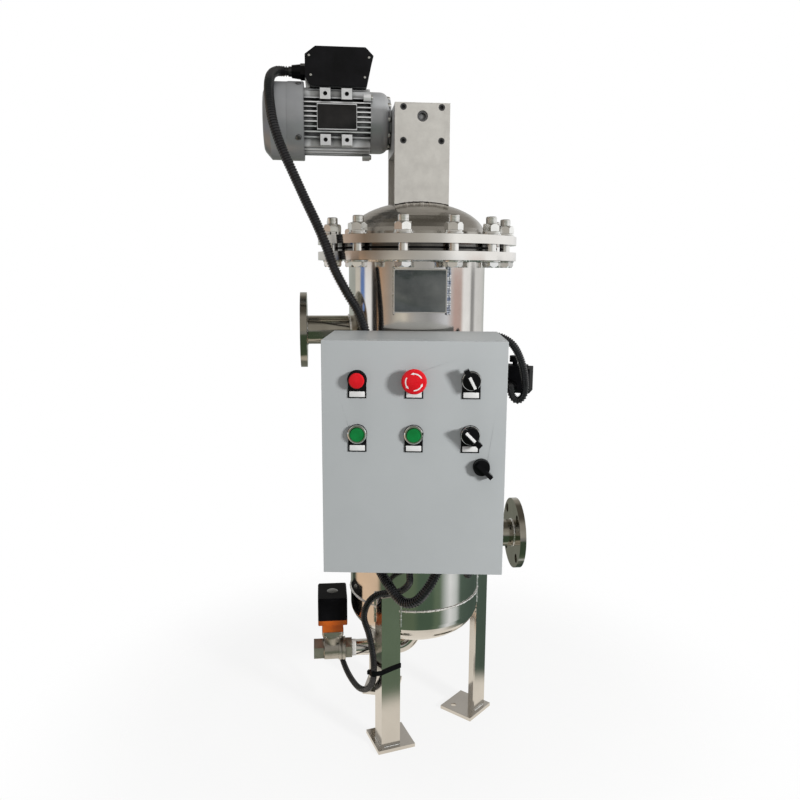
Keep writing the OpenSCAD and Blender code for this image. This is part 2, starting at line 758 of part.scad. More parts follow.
// Terminal and capacitor box on the motor, narrower below, with a bevelled lid
module terminal_box() {
  box_l = 131;
  box_w = 96;
  box_h = 40;
  lid_h = 32;
  corner_w = 20;
  corner_h = 15;
  taper = 13;
  low = drive_z + frame_core_r + 6;
  color("#141416") turned() translate([terminal_x, worm_offset, low]) {
    difference() {
      rotate([90, 0, 0]) linear_extrude(box_w, center = true)
        polygon([[0, box_h], [0, 16], [10, 0], [box_l - taper, 0], [box_l - taper / 3, box_h]]);
      translate([box_l / 2, 0, drive_z - low]) rotate([0, 90, 0])
        cylinder(r = frame_r, h = box_l + 2, center = true, $fn = 96);
    }
    translate([0, 0, box_h]) rotate([90, 0, 0]) linear_extrude(box_w, center = true)
      polygon([[0, 0], [box_l - taper / 3, 0], [box_l, lid_h - corner_h], [box_l - corner_h, lid_h],
        [corner_w, lid_h], [0, lid_h - corner_h]]);
  }
}

// Seal housing on the dome around the scraper shaft
module seal_housing() {
  bush_h = 36;
  color("#bfbdb8") difference() {
    union() {
      translate([0, 0, dome_z]) cylinder(r = seal_r, h = seal_top - dome_z);
      translate([0, 0, seal_top - 12]) cylinder(r = seal_r + 8, h = 12);
    }
    translate([0, 0, dome_z - 1]) cylinder(r = shaft_r + 4, h = seal_top - dome_z - bush_h + 1);
    cylinder(r = shaft_r + running_gap, h = seal_top + 1);
    translate([0, 0, dome_z]) dish_solid(shell_r, dish_rise, flange_t);
  }
}

// Partition welded in the shell, with three arms to the bottom bush of the shaft
module partition_ring() {
  hole_r = screen_r - screen_wall - 6;
  arm_w = 10;
  floor_t = 4;
  color("#a8a6a1") translate([0, 0, partition_z - partition_t]) difference() {
    union() {
      cylinder(r = bore_r, h = partition_t, $fn = 96);
      translate([0, 0, partition_t - hub_h]) cylinder(r = hub_r, h = hub_h - 1);
    }
    difference() {
      translate([0, 0, -1]) cylinder(r = hole_r, h = partition_t + 2, $fn = 96);
      translate([0, 0, -2]) cylinder(r = hub_r + 2, h = partition_t + 4);
      turned() for (a = [60, 180, 300]) rotate([0, 0, a]) translate([0, -arm_w / 2, -2]) {
        cube([screen_d, arm_w, partition_t + 4]);
      }
    }
    translate([0, 0, partition_t - hub_h + floor_t]) cylinder(r = shaft_r + running_gap, h = hub_h);
  }
}

// Slotted screen cylinder standing on the partition
module filter_screen() {
  rows = 4;
  row_h = screen_h / rows;
  color("#8f8f8c") translate([0, 0, partition_z]) difference() {
    cylinder(r = screen_r, h = screen_h, $fn = 96);
    translate([0, 0, -1]) cylinder(r = screen_r - screen_wall, h = screen_h + 2, $fn = 96);
    for (k = [0:rows - 1]) for (a = [0:22.5:337.5]) rotate([0, 0, a]) {
      translate([screen_r - 10, -2, k * row_h + 12]) cube([20, 4, row_h - 24]);
    }
  }
}

// Plate that closes the screen at the top and guides the shaft
module screen_top_plate() {
  color("#a8a6a1") translate([0, 0, partition_z + screen_h]) difference() {
    cylinder(r = bore_r - 1, h = top_plate_t, $fn = 96);
    translate([0, 0, -1]) cylinder(r = shaft_r + running_gap, h = top_plate_t + 2);
  }
}

// Folded frame for the nameplate, its two sides welded to the shell
module nameplate_bracket() {
  plate_x = 8;
  w = 98;
  h = 80;
  fold_t = 2;
  mid_z = flange_z - 56;
  stand_y = shell_r + 14;
  color("#c9c8c4") difference() {
    translate([plate_x - w / 2, -stand_y, mid_z - h / 2]) cube([w, stand_y, h]);
    translate([plate_x - w / 2 + fold_t, -stand_y + fold_t, mid_z - h])
      cube([w - 2 * fold_t, stand_y, 2 * h]);
    translate([0, 0, mid_z - h]) cylinder(r = shell_r, h = 2 * h, $fn = 96);
    translate([-shell_d, -shell_r / 2, mid_z - h]) cube([2 * shell_d, shell_d, 2 * h]);
  }
}

// Folded cabinet body with a raised rim behind the door, hinge lugs and pins, and gland holes
module cabinet_body() {
  depth = -cabinet_back - shoulder_y;
  w = cabinet_w;
  rim_w = w - 2 * rim_inset;
  rim_h = cabinet_h - 2 * rim_inset;
  color("#b4b6b8") difference() {
    union() {
      translate([-w / 2, shoulder_y, cabinet_bottom]) cube([w, depth, cabinet_h]);
      translate([-rim_w / 2, rim_y, cabinet_bottom + rim_inset]) cube([rim_w, shoulder_y - rim_y + 1, rim_h]);
      for (z = hinge_levels) translate([hinge_x, hinge_y, z]) {
        for (dz = [-hinge_lug - moving_gap, hinge_lug + moving_gap]) translate([0, 0, dz]) {
          cylinder(r = hinge_r, h = hinge_lug, $fn = 32);
          translate([0, -2, 0]) cube([rim_inset - hinge_inset + 1, 4, hinge_lug]);
        }
        translate([0, 0, -hinge_lug]) cylinder(r = hinge_pin_r, h = 3 * hinge_lug, $fn = 32);
      }
    }
    translate([-w / 2 + sheet, shoulder_y + sheet, cabinet_bottom + sheet])
      cube([w - 2 * sheet, depth - 2 * sheet, cabinet_h - 2 * sheet]);
    translate([-rim_w / 2 + sheet, rim_y + sheet, cabinet_bottom + rim_inset + sheet])
      cube([rim_w - 2 * sheet, shoulder_y - rim_y + 2, rim_h - 2 * sheet]);
    translate([-rim_w / 2 + rim_lip, rim_y - 1, cabinet_bottom + rim_inset + rim_lip])
      cube([rim_w - 2 * rim_lip, shoulder_y - rim_y + 2, rim_h - 2 * rim_lip]);
    for (x = gland_x) translate([x, gland_y, cabinet_bottom - 1]) cylinder(r = 10, h = sheet + 2, $fn = 32);
  }
}

// Hinge heights and the height of one hinge lug
hinge_lug = 14;
hinge_levels = [cabinet_bottom + 70, cabinet_top - 70 - hinge_lug];

// Saddle brackets welded on the shell, with a strip behind the cabinet
module cabinet_brackets() {
  strip_t = 4;
  strip_h = 30;
  w = 200;
  web_w = 140;
  web_d = shell_r - 90;
  color("#b3b2ad") for (z = [cabinet_bottom + 60, cabinet_top - 60 - strip_h]) {
    difference() {
      union() {
        translate([-w / 2, -cabinet_back, z]) cube([w, strip_t, strip_h]);
        for (dz = [0, strip_h - strip_t]) translate([-web_w / 2, -cabinet_back, z + dz])
          cube([web_w, web_d + cabinet_back - shell_r, strip_t]);
      }
      translate([0, 0, z - 1]) cylinder(r = shell_r, h = strip_h + 2, $fn = 96);
    }
  }
}

// Mounting panel with a rail, contactors, breakers and a terminal row
module control_gear() {
  panel_w = 250;
  panel_h = 330;
  post_l = 10;
  post_in = 12;
  rail_t = 8;
  device_d = 60;
  panel_y = -cabinet_back - sheet - post_l;
  rail_y = panel_y - 2 - rail_t;
  mid_z = cabinet_top - cabinet_h / 2;
  color("#d2cfc6") {
    translate([-panel_w / 2, panel_y - 2, mid_z - panel_h / 2]) cube([panel_w, 2, panel_h]);
    for (x = [-1, 1]) for (z = [-1, 1])
      translate([x * (panel_w / 2 - post_in), panel_y, mid_z + z * (panel_h / 2 - post_in)])
        rotate([-90, 0, 0]) cylinder(r = 5, h = post_l, $fn = 24);
  }
  color("#e8e6e0") for (row = [[60, 5, 36, 80], [-50, 3, 50, 84], [-130, 8, 22, 44]]) {
    translate([-panel_w / 2 + 10, rail_y, mid_z + row[0] - 17]) cube([panel_w - 20, rail_t, 34]);
    for (k = [0:row[1] - 1])
      translate([-panel_w / 2 + 20 + k * (row[2] + 2), rail_y - device_d, mid_z + row[0] - row[3] / 2])
        cube([row[2], device_d, row[3]]);
  }
}

// Gland with a hexagon, a dome nut and a bore for its conduit, standing on Z
module gland(conduit_d, h) {
  difference() {
    union() {
      cylinder(d = conduit_d + 13, h = 9, $fn = 6);
      translate([0, 0, 9]) cylinder(d1 = conduit_d + 9, d2 = conduit_d + 5, h = h - 9, $fn = 48);
    }
    translate([0, 0, -1]) cylinder(d = conduit_d - 4, h = h + 2, $fn = 32);
  }
}

// Glands under the cabinet and at the ends of the conduits
module cable_glands() {
  sizes = [motor_conduit_d, valve_conduit_d, switch_conduit_d];
  color("#18181a") {
    for (k = [0:2]) translate([gland_x[k], gland_y, cabinet_bottom]) mirror([0, 0, 1])
      gland(sizes[k], gland_h);
    turned() translate([terminal_x, worm_offset, terminal_z]) rotate([0, -90, 0])
      gland(motor_conduit_d, gland_h);
    at_valve() translate([0, base_back, actuator_gland_z - drain_z]) rotate([-90, 0, 0])
      gland(valve_conduit_d, short_gland_h);
    rotate([0, 0, switch_turn]) translate([switch_r + 13, -switch_d / 2, switch_gland_z]) rotate([90, 0, 0])
      gland(switch_conduit_d, switch_gland_h);
  }
}

// Differential pressure switch on a bracket off the shell, with its adjusting knob
module pressure_switch() {
  shelf_t = 4;
  mid = switch_r + switch_w / 2;
  rotate([0, 0, switch_turn]) {
    color("#161618") translate([mid, 0, switch_z]) linear_extrude(switch_h)
      round_square(switch_w, switch_d, 4);
    color("#8d8f90") difference() {
      translate([shell_r - 6, -16, switch_z + switch_h]) cube([mid + 14 - shell_r + 6, 32, shelf_t]);
      translate([0, 0, switch_z]) cylinder(r = shell_r, h = 2 * switch_h, $fn = 96);
    }
    color("#161618") translate([mid - 10, 0, switch_z + switch_h + shelf_t]) {
      cylinder(r = 5, h = 6, $fn = 32);
      translate([0, 0, 6]) cylinder(r = 11, h = 12, $fn = 48);
    }
  }
}

module motor_conduit() color("#161617") tube_along(motor_route, motor_conduit_d);
module valve_conduit() color("#161617") tube_along(valve_route, valve_conduit_d);
module switch_conduit() color("#161617") tube_along(switch_route, switch_conduit_d);

// Scraper shaft from the bottom bush to the worm wheel
module scraper_shaft() {
  low = partition_z - hub_h + 4 + moving_gap;
  high = drive_z + wheel_h / 2 + 1;
  color("#b8b7b3") translate([0, 0, low]) cylinder(r = shaft_r, h = high - low);
}

// Sleeves, arms and the two wiper blades that run along the screen
module scraper_blades() {
  low = partition_z + 14;
  blade_h = screen_h - 28;
  sleeve_h = 26;
  levels = [20, blade_h / 2 - sleeve_h / 2, blade_h - 20 - sleeve_h];
  color("#6f7275") for (h = levels) translate([0, 0, low + h]) difference() {
    union() {
      cylinder(r = shaft_r + 6, h = sleeve_h);
      for (a = [0, 180]) rotate([0, 0, a]) translate([0, -4, 4]) cube([blade_r - 12, 8, sleeve_h - 8]);
    }
    translate([0, 0, -1]) cylinder(r = shaft_r, h = sleeve_h + 2);
  }
  color("#2b2c2e") for (a = [0, 180]) rotate([0, 0, a]) translate([blade_r - 12, -4, low])
    cube([11, 8, blade_h]);
}

// Worm wheel on the top of the shaft
module worm_wheel() {
  teeth = 30;
  color("#b08d4f") turned() translate([0, 0, drive_z - wheel_h / 2]) difference() {
    cylinder(r = wheel_r, h = wheel_h);
    translate([0, 0, -1]) cylinder(r = shaft_r, h = wheel_h + 2);
    on_circle(teeth, wheel_r) translate([0, 0, -1]) cylinder(r = 1.4, h = wheel_h + 2, $fn = 16);
  }
}

// Motor shaft with the rotor core and the worm
module motor_rotor() {
  tail = cowl_x + 34;
  color("#8a8c8e") on_motor_axis() {
    translate([0, 0, -34]) cylinder(r = rotor_shaft_r, h = tail + 34);
    translate([0, 0, frame_x + 6]) cylinder(r = rotor_r, h = frame_l - 26);
    translate([0, 0, -24]) cylinder(r = worm_r, h = 48);
  }
}

// Fan on the rear end of the motor shaft
module motor_fan() {
  hub_l = 22;
  color("#26282a") on_motor_axis() translate([0, 0, cowl_x + 10]) difference() {
    union() {
      cylinder(r = 16, h = hub_l);
      cylinder(r = fan_r - 8, h = 3, $fn = 96);
      on_circle(8, fan_r / 2 + 6) translate([-fan_r / 2 + 8, -1.5, 0]) cube([fan_r - 16, 3, hub_l + 6]);
    }
    translate([0, 0, -1]) cylinder(r = rotor_shaft_r, h = hub_l + 10);
  }
}

// Ball with its cross bore and stem, closed at rest
module valve_ball() {
  color("#d0d0cc") at_valve() difference() {
    union() {
      sphere(d = ball_d);
      cylinder(r = stem_r, h = base_z - drain_z + socket_h - 2);
    }
    rotate([90, 0, 0]) cylinder(r = drain_bore_r - 1, h = ball_d + 2, center = true);
  }
}

// Folded door with control holes and hinge lugs, hinged on the left
module cabinet_door() {
  w = cabinet_w;
  color("#b4b6b8") difference() {
    union() {
      difference() {
        translate([-w / 2, -door_front, cabinet_bottom]) cube([w, door_depth, cabinet_h]);
        translate([-w / 2 + sheet, -door_front + sheet, cabinet_bottom + sheet])
          cube([w - 2 * sheet, door_depth, cabinet_h - 2 * sheet]);
      }
      for (z = hinge_levels) translate([hinge_x, hinge_y, z]) {
        cylinder(r = hinge_r, h = hinge_lug, $fn = 32);
        translate([-hinge_inset + sheet / 2, -2, 0]) cube([hinge_inset - sheet / 2, 4, hinge_lug]);
      }
    }
    for (z = hinge_levels) translate([hinge_x, hinge_y, z - 1])
      cylinder(r = hinge_pin_r + running_gap, h = hinge_lug + 2, $fn = 32);
    for (x = [-1, 0, 1]) for (z = [row_top, row_top - row_pitch]) at_door(x * control_pitch, z)
      cylinder(r = control_hole_r, h = 4 * sheet, center = true, $fn = 48);
    at_door(lock_x, lock_z) cylinder(r = 9, h = 4 * sheet, center = true, $fn = 48);
  }
}

// Places a control on the door front, its axis outwards
module at_door(x, z) translate([x, -door_front, z]) rotate([90, 0, 0]) children();

plunger_r = 5;
legend_t = 1.5;
bezel_h = 6;
bezel_r = 15;
cap_r = 11;
raised_r = 12.4;
stop_r = 20.5;
stop_rim = 5;
plunger_l = 14;
block_l = 42;
travel = 3;
stop_travel = 5;

// Legend plate, bezel and contact block of one control, with the bore of its plunger
module control_fitting() {
  color("#1a1a1c") difference() {
    union() {
      linear_extrude(legend_t) {
        circle(16, $fn = 64);
        translate([-15, -30]) square([30, 30]);
      }
      translate([0, 0, legend_t]) cylinder(r = bezel_r, h = bezel_h, $fn = 64);
      translate([0, 0, -sheet]) cylinder(r = control_hole_r, h = sheet, $fn = 48);
      translate([-15, -20, -sheet - block_l]) cube([30, 40, block_l]);
    }
    translate([0, 0, legend_t + 0.5]) cylinder(r = cap_r + moving_gap, h = bezel_h + 1, $fn = 64);
    translate([0, 0, -plunger_l - stop_travel - 2])
      cylinder(r = plunger_r + running_gap, h = plunger_l + stop_travel + bezel_h, $fn = 32);
  }
}

// All fittings that stay on the door: controls, door gasket and lock housing
module door_fittings() {
  gasket_w = cabinet_w - 2 * rim_inset;
  gasket_h = cabinet_h - 2 * rim_inset;
  seal_w = 6;
  seal_t = door_front + rim_y - sheet - moving_gap;
  for (x = [-1, 0, 1]) for (z = [row_top, row_top - row_pitch])
    at_door(x * control_pitch, z) control_fitting();
  color("#2a2b2d") translate([-gasket_w / 2, -door_front + sheet, cabinet_bottom + rim_inset]) difference() {
    cube([gasket_w, seal_t, gasket_h]);
    translate([seal_w, -1, seal_w]) cube([gasket_w - 2 * seal_w, seal_t + 2, gasket_h - 2 * seal_w]);
  }
  color("#1a1a1c") at_door(lock_x, lock_z) difference() {
    union() {
      cylinder(r = lock_r + 0.5, h = lock_foot, $fn = 48);
      translate([0, 0, -9]) cylinder(r = 9, h = 9, $fn = 48);
    }
    translate([0, 0, -20]) cylinder(r = plunger_r + running_gap, h = 40, $fn = 32);
  }
}

// Flush round cap on a plunger
module push_cap(tone) {
  color(tone) {
    translate([0, 0, legend_t + 0.5 + travel + moving_gap]) cylinder(r = cap_r, h = 6, $fn = 64);
    plunger(legend_t + travel + moving_gap);
  }
}

// Plunger of a control from behind the door up to a height in front of it
module plunger(top) {
  translate([0, 0, -plunger_l + 1]) cylinder(r = plunger_r, h = plunger_l + top, $fn = 32);
}

// Raised cap in front of its bezel
module red_button() {
  foot = legend_t + bezel_h + travel + moving_gap;
  color("#d9101e") at_door(-control_pitch, row_top) {
    translate([0, 0, foot]) rotate_extrude($fn = 64)
      polygon([[0, 0], [raised_r - 0.6, 0], [raised_r, 0.6], [raised_r, 4.4], [raised_r - 1.6, 6], [0, 6.4]]);
    plunger(foot);
  }
}

module green_button_left() at_door(-control_pitch, row_top - row_pitch) push_cap("#0a7a33");
module green_button_mid() at_door(0, row_top - row_pitch) push_cap("#0a7a33");

// Mushroom head of the emergency stop: a round rim and a shallow crown
module estop_head() {
  head = legend_t + bezel_h + stop_travel + moving_gap;
  rim = [for (a = [-90:15:60]) [stop_r - stop_rim + stop_rim * cos(a), stop_rim + stop_rim * sin(a)]];
  crown = [for (k = [1:4]) [(stop_r - stop_rim / 2) * (1 - k / 4), stop_rim * 1.87 + 2.4 * sin(90 * k / 4)]];
  color("#d9101e") at_door(0, row_top) {
    translate([0, 0, head]) rotate_extrude($fn = 64) polygon(concat([[0, 0]], rim, crown));
    plunger(head);
    translate([0, 0, head - 2]) cylinder(r = cap_r - 1, h = 4, $fn = 48);
  }
}

// Selector knob with a tapered handle, its pointer turned by an angle
module selector(angle) {
  foot_h = legend_t + bezel_h + moving_gap;
  color("#151517") rotate([0, 0, angle]) {
    translate([0, 0, foot_h]) cylinder(r = 14, h = 5, $fn = 64);
    translate([0, 0, foot_h + 5]) linear_extrude(11) {
      translate([-4.5, -12]) square([9, 34]);
      translate([0, -12]) circle(4.5, $fn = 32);
    }
    plunger(foot_h);
  }
}

module selector_upper() at_door(control_pitch, row_top) selector(27);
module selector_lower() at_door(control_pitch, row_top - row_pitch) selector(225);

// Lock knob with a wing in front and the cam behind the door, unlocked at rest
module lock_cam() {
  cam_z = -(door_front + rim_y) - sheet - 1;
  wing_t = 7;
  wing_reach = 23;
  color("#151517") at_door(lock_x, lock_z) {
    translate([0, 0, lock_foot + moving_gap]) cylinder(r = lock_r, h = 7, $fn = 48);
    rotate([0, 0, 45]) translate([-wing_t / 2, -wing_reach, lock_foot + moving_gap])
      cube([wing_t, wing_reach + 10, 12]);
    translate([0, 0, cam_z - 2.5]) cylinder(r = plunger_r, h = 5 - cam_z + 2, $fn = 32);
    translate([-6, -20, cam_z - 2.5]) cube([12, 26, 2.5]);
  }
}

shell();
bottom_head();
shell_flange();
cover_gasket();
cover_flange();
cover_dome();
cover_studs();
stud_nuts();
stud_washers();
inlet_pipe();
inlet_flange();
outlet_pipe();
outlet_flange();
leg_front();
leg_right();
leg_rear();
foot_front();
foot_right();
foot_rear();
drain_elbow();
valve_body();
valve_bracket();
actuator_base();
actuator_cover();
front_plate();
back_plate();
plate_screws();
gearbox_housing();
motor_frame();
motor_shield();
fan_cowl();
terminal_box();
seal_housing();
partition_ring();
filter_screen();
screen_top_plate();
nameplate_bracket();
cabinet_body();
cabinet_brackets();
control_gear();
cable_glands();
pressure_switch();
motor_conduit();
valve_conduit();
switch_conduit();
scraper_shaft();
scraper_blades();
worm_wheel();
motor_rotor();
motor_fan();
valve_ball();
cabinet_door();
door_fittings();
red_button();
green_button_left();
green_button_mid();
estop_head();
selector_upper();
selector_lower();
lock_cam();
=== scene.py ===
import math
import random

import bpy
from mathutils import Matrix, Vector


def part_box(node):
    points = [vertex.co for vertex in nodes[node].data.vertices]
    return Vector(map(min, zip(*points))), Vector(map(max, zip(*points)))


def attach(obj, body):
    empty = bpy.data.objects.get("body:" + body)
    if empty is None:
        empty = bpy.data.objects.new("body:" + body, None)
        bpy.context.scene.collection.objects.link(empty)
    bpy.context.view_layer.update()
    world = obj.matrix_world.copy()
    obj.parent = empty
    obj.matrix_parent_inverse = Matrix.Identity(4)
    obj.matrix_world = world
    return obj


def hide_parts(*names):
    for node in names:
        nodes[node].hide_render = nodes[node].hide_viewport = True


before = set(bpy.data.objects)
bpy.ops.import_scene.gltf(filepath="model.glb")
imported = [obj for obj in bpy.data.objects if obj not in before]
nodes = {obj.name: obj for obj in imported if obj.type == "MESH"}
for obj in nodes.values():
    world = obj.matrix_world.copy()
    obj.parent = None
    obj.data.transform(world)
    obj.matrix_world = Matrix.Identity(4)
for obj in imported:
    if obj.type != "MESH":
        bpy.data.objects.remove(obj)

for leftover in ("Cube", "Light", "Camera"):
    if leftover in bpy.data.objects:
        bpy.data.objects.remove(bpy.data.objects[leftover])
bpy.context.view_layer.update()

MM = 0.001
RIGHT, FRONT, UP = Vector((1, 0, 0)), Vector((0, -1, 0)), Vector((0, 0, 1))
scene = bpy.context.scene
scene.view_settings.view_transform = "Standard"

# Camera of the photograph: focal length in pixels of an 800 pixel frame, place and angles in radians
FOCAL_PX = 755.7
FRAME_PX = 800
SENSOR = 36
CAMERA_AT = Vector((0.0106, -1.5492, 0.9761))
YAW, PITCH, ROLL = -0.0276, 0.1733, 0.0053

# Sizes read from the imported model
shell_low, shell_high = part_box("shell")
SHELL_R = (shell_high.x - shell_low.x) / 2
SEAM_Z = shell_low.z
FLANGE_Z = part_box("shell_flange")[0].z
DOME_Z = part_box("cover_flange")[1].z
DOME_SKIRT = 1.5 * MM
DOME_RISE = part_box("cover_dome")[1].z - DOME_Z + DOME_SKIRT
DOOR_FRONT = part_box("cabinet_door")[0].y
FOOT_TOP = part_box("foot_front")[1].z
LEG_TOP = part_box("leg_front")[1].z
STUD_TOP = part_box("cover_studs")[1].z
HEAD_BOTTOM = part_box("bottom_head")[0].z
PLATE_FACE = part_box("nameplate_bracket")

# Sizes of the vessel's turned frame, in millimetres
TURN = math.radians(7.5)
LEG_ANGLES = (0, 120, 240)
LEG_CORNER_R = 161.8
LEG_HALF = 28.28
NOZZLE_R = 28.5
NOZZLES = ((1, 410, 226), (-1, 852, 234))  # side, height and reach
NOZZLE_FLANGE_T = 13
DRIVE_PLATE_Y = 70
DRIVE_PLATE_HALF = 52
STUD_CIRCLE_R = 175
STUD_COUNT = 12
STUD_R = 10
NUT_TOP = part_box("stud_nuts")[1].z / MM
MOTOR_Y = 40
MOTOR_Z = 1259
FRAME_X = 93
COWL_X = 221
COWL_R = 73
BOX_FRONT_Y = -8
DRAIN_Z = 158
VALVE_X = -176.5
PAD_R = 23
PAD_Z = 193.5
CONTROL_X = (-92, 0, 92)
CONTROL_Z = (798, 709)
LEGEND_T = 1.5
STOP_HEAD = 12.9
SELECTOR_TOP = 23.9
SELECTORS = (("upper_selector", 0, 27), ("lower_selector", 1, 225))  # body, row and angle of the bar

# Routes of the three conduits, given as points in metres
MOTOR_ROUTE = [
    (-0.248, 0.008, 1.352), (-0.262, 0.005, 1.352), (-0.274, -0.008, 1.349), (-0.280, -0.030, 1.338),
    (-0.280, -0.054, 1.320), (-0.277, -0.074, 1.296), (-0.272, -0.090, 1.268), (-0.266, -0.099, 1.240),
    (-0.255, -0.104, 1.206), (-0.243, -0.108, 1.178), (-0.224, -0.114, 1.138), (-0.204, -0.121, 1.096),
    (-0.184, -0.130, 1.056), (-0.166, -0.138, 1.016), (-0.150, -0.146, 0.974), (-0.128, -0.146, 0.932),
    (-0.106, -0.141, 0.894), (-0.094, -0.136, 0.854), (-0.092, -0.134, 0.806), (-0.092, -0.134, 0.756),
    (-0.092, -0.134, 0.706), (-0.092, -0.134, 0.656), (-0.092, -0.134, 0.606), (-0.092, -0.134, 0.556),
    (-0.092, -0.135, 0.506), (-0.089, -0.142, 0.462), (-0.078, -0.160, 0.422), (-0.058, -0.184, 0.395),
    (-0.046, -0.203, 0.385), (-0.034, -0.219, 0.374), (-0.020, -0.232, 0.366), (-0.007, -0.242, 0.367),
    (0.007, -0.249, 0.375), (0.020, -0.253, 0.391), (0.031, -0.253, 0.408), (0.039, -0.251, 0.423),
    (0.044, -0.250, 0.434), (0.044, -0.250, 0.4425)]
VALVE_ROUTE = [
    (-0.1825, 0.035, 0.215), (-0.1845, 0.050, 0.214), (-0.187, 0.066, 0.205), (-0.188, 0.076, 0.180),
    (-0.185, 0.076, 0.146), (-0.166, 0.056, 0.098), (-0.150, 0.026, 0.078), (-0.132, -0.010, 0.072),
    (-0.114, -0.050, 0.080), (-0.096, -0.092, 0.104), (-0.082, -0.126, 0.140), (-0.078, -0.144, 0.180),
    (-0.080, -0.152, 0.220), (-0.087, -0.158, 0.262), (-0.096, -0.162, 0.297), (-0.091, -0.165, 0.324),
    (-0.078, -0.170, 0.344), (-0.060, -0.178, 0.356), (-0.040, -0.188, 0.362), (-0.025, -0.202, 0.372),
    (-0.013, -0.222, 0.389), (-0.006, -0.240, 0.408), (-0.006, -0.249, 0.426), (-0.006, -0.250, 0.4425)]
SWITCH_ROUTE = [
    (0.1851, -0.0983, 0.750), (0.1833, -0.1046, 0.750), (0.1835, -0.1105, 0.744), (0.187, -0.1135, 0.734),
    (0.194, -0.115, 0.7275), (0.202, -0.115, 0.729), (0.208, -0.1155, 0.738), (0.210, -0.116, 0.754),
    (0.2065, -0.119, 0.782), (0.198, -0.123, 0.809), (0.185, -0.128, 0.832), (0.169, -0.130, 0.845),
    (0.150, -0.131, 0.850), (0.128, -0.132, 0.836), (0.116, -0.132, 0.806), (0.112, -0.132, 0.770),
    (0.112, -0.132, 0.730), (0.112, -0.132, 0.690), (0.112, -0.132, 0.650), (0.112, -0.132, 0.610),
    (0.112, -0.132, 0.570), (0.112, -0.132, 0.530), (0.111, -0.134, 0.490), (0.109, -0.146, 0.456),
    (0.106, -0.172, 0.435), (0.102, -0.205, 0.426), (0.100, -0.230, 0.4225), (0.100, -0.245, 0.427),
    (0.100, -0.250, 0.435), (0.100, -0.250, 0.4425)]

# Conduits: node, route, diameter and rib pitch in metres
CONDUITS = (("motor_conduit", MOTOR_ROUTE, 0.019, 0.0050), ("valve_conduit", VALVE_ROUTE, 0.013, 0.0038),
            ("switch_conduit", SWITCH_ROUTE, 0.015, 0.0042))


def turned(x, y, z):
    """A point of the vessel's turned frame, given in millimetres."""
    c, s = math.cos(TURN), math.sin(TURN)
    return Vector((x * c - y * s, x * s + y * c, z)) * MM


def frame_matrix(origin, x_axis, y_axis, z_axis):
    """Matrix of a local frame with the given axes."""
    matrix = Matrix((x_axis, y_axis, z_axis)).transposed().to_4x4()
    matrix.translation = origin
    return matrix


def door_place(x, z, out=0.0):
    """Frame on the door front: local x to the right, y up, z towards the viewer, in millimetres."""
    origin = Vector((x * MM, DOOR_FRONT - out * MM, z * MM))
    return frame_matrix(origin, RIGHT, UP, FRONT)


def motor_place(along):
    """Frame on the motor axis: local x up, z from the gear case towards the fan, in millimetres."""
    back = turned(0, 1, 0) / MM
    return frame_matrix(turned(-along, MOTOR_Y, MOTOR_Z), UP, back, -turned(1, 0, 0) / MM)


# Materials

# Sockets of the colour mix node
MIX_FACTOR, MIX_A, MIX_B, MIX_RESULT = 0, 6, 7, 2
# Part of the noise's range that is used
NOISE_LOW, NOISE_HIGH = 0.3, 0.7
# Lighter tint on sharp edges: pointiness where it starts and where it is full, and its share there
EDGE_START, EDGE_FULL, EDGE_SHARE = 0.52, 0.60, 0.7
# Painted shade in hollows: openness of a hollow where it is full and where it ends, and its tone against the
# darker colour
SHADE_FULL, SHADE_END, SHADE_TONE = 0.25, 0.85, 0.12
RELIEF_DEPTH = 0.0006


def put(tree, kind, inputs=None, **settings):
    """Adds a shader node with its settings and input values."""
    node = tree.nodes.new(kind)
    for key, value in settings.items():
        setattr(node, key, value)
    for key, value in (inputs or {}).items():
        node.inputs[key].default_value = value
    return node


def grain(tree, scale, detail=5.0, stretch=(1, 1, 1)):
    """Noise in object space, stretched along its axes."""
    coords = put(tree, "ShaderNodeTexCoord")
    mapping = put(tree, "ShaderNodeMapping", {"Scale": stretch})
    noise = put(tree, "ShaderNodeTexNoise", {"Scale": scale, "Detail": detail, "Roughness": 0.6})
    tree.links.new(coords.outputs["Object"], mapping.inputs["Vector"])
    tree.links.new(mapping.outputs["Vector"], noise.inputs["Vector"])
    return noise.outputs["Fac"]


def blend_colours(tree, factor, low, high, start=0.35, end=0.65):
    """Colour ramp from low to high."""
    ramp = put(tree, "ShaderNodeValToRGB")
    ramp.color_ramp.elements[0].position = start
    ramp.color_ramp.elements[0].color = (*low, 1)
    ramp.color_ramp.elements[1].position = end
    ramp.color_ramp.elements[1].color = (*high, 1)
    tree.links.new(factor, ramp.inputs["Fac"])
    return ramp.outputs["Color"]


def spread(tree, factor, low, high):
    """Maps noise to a range of values."""
    remap = put(tree, "ShaderNodeMapRange",
                {"From Min": NOISE_LOW, "From Max": NOISE_HIGH, "To Min": low, "To Max": high})
    tree.links.new(factor, remap.inputs["Value"])
    return remap.outputs["Result"]


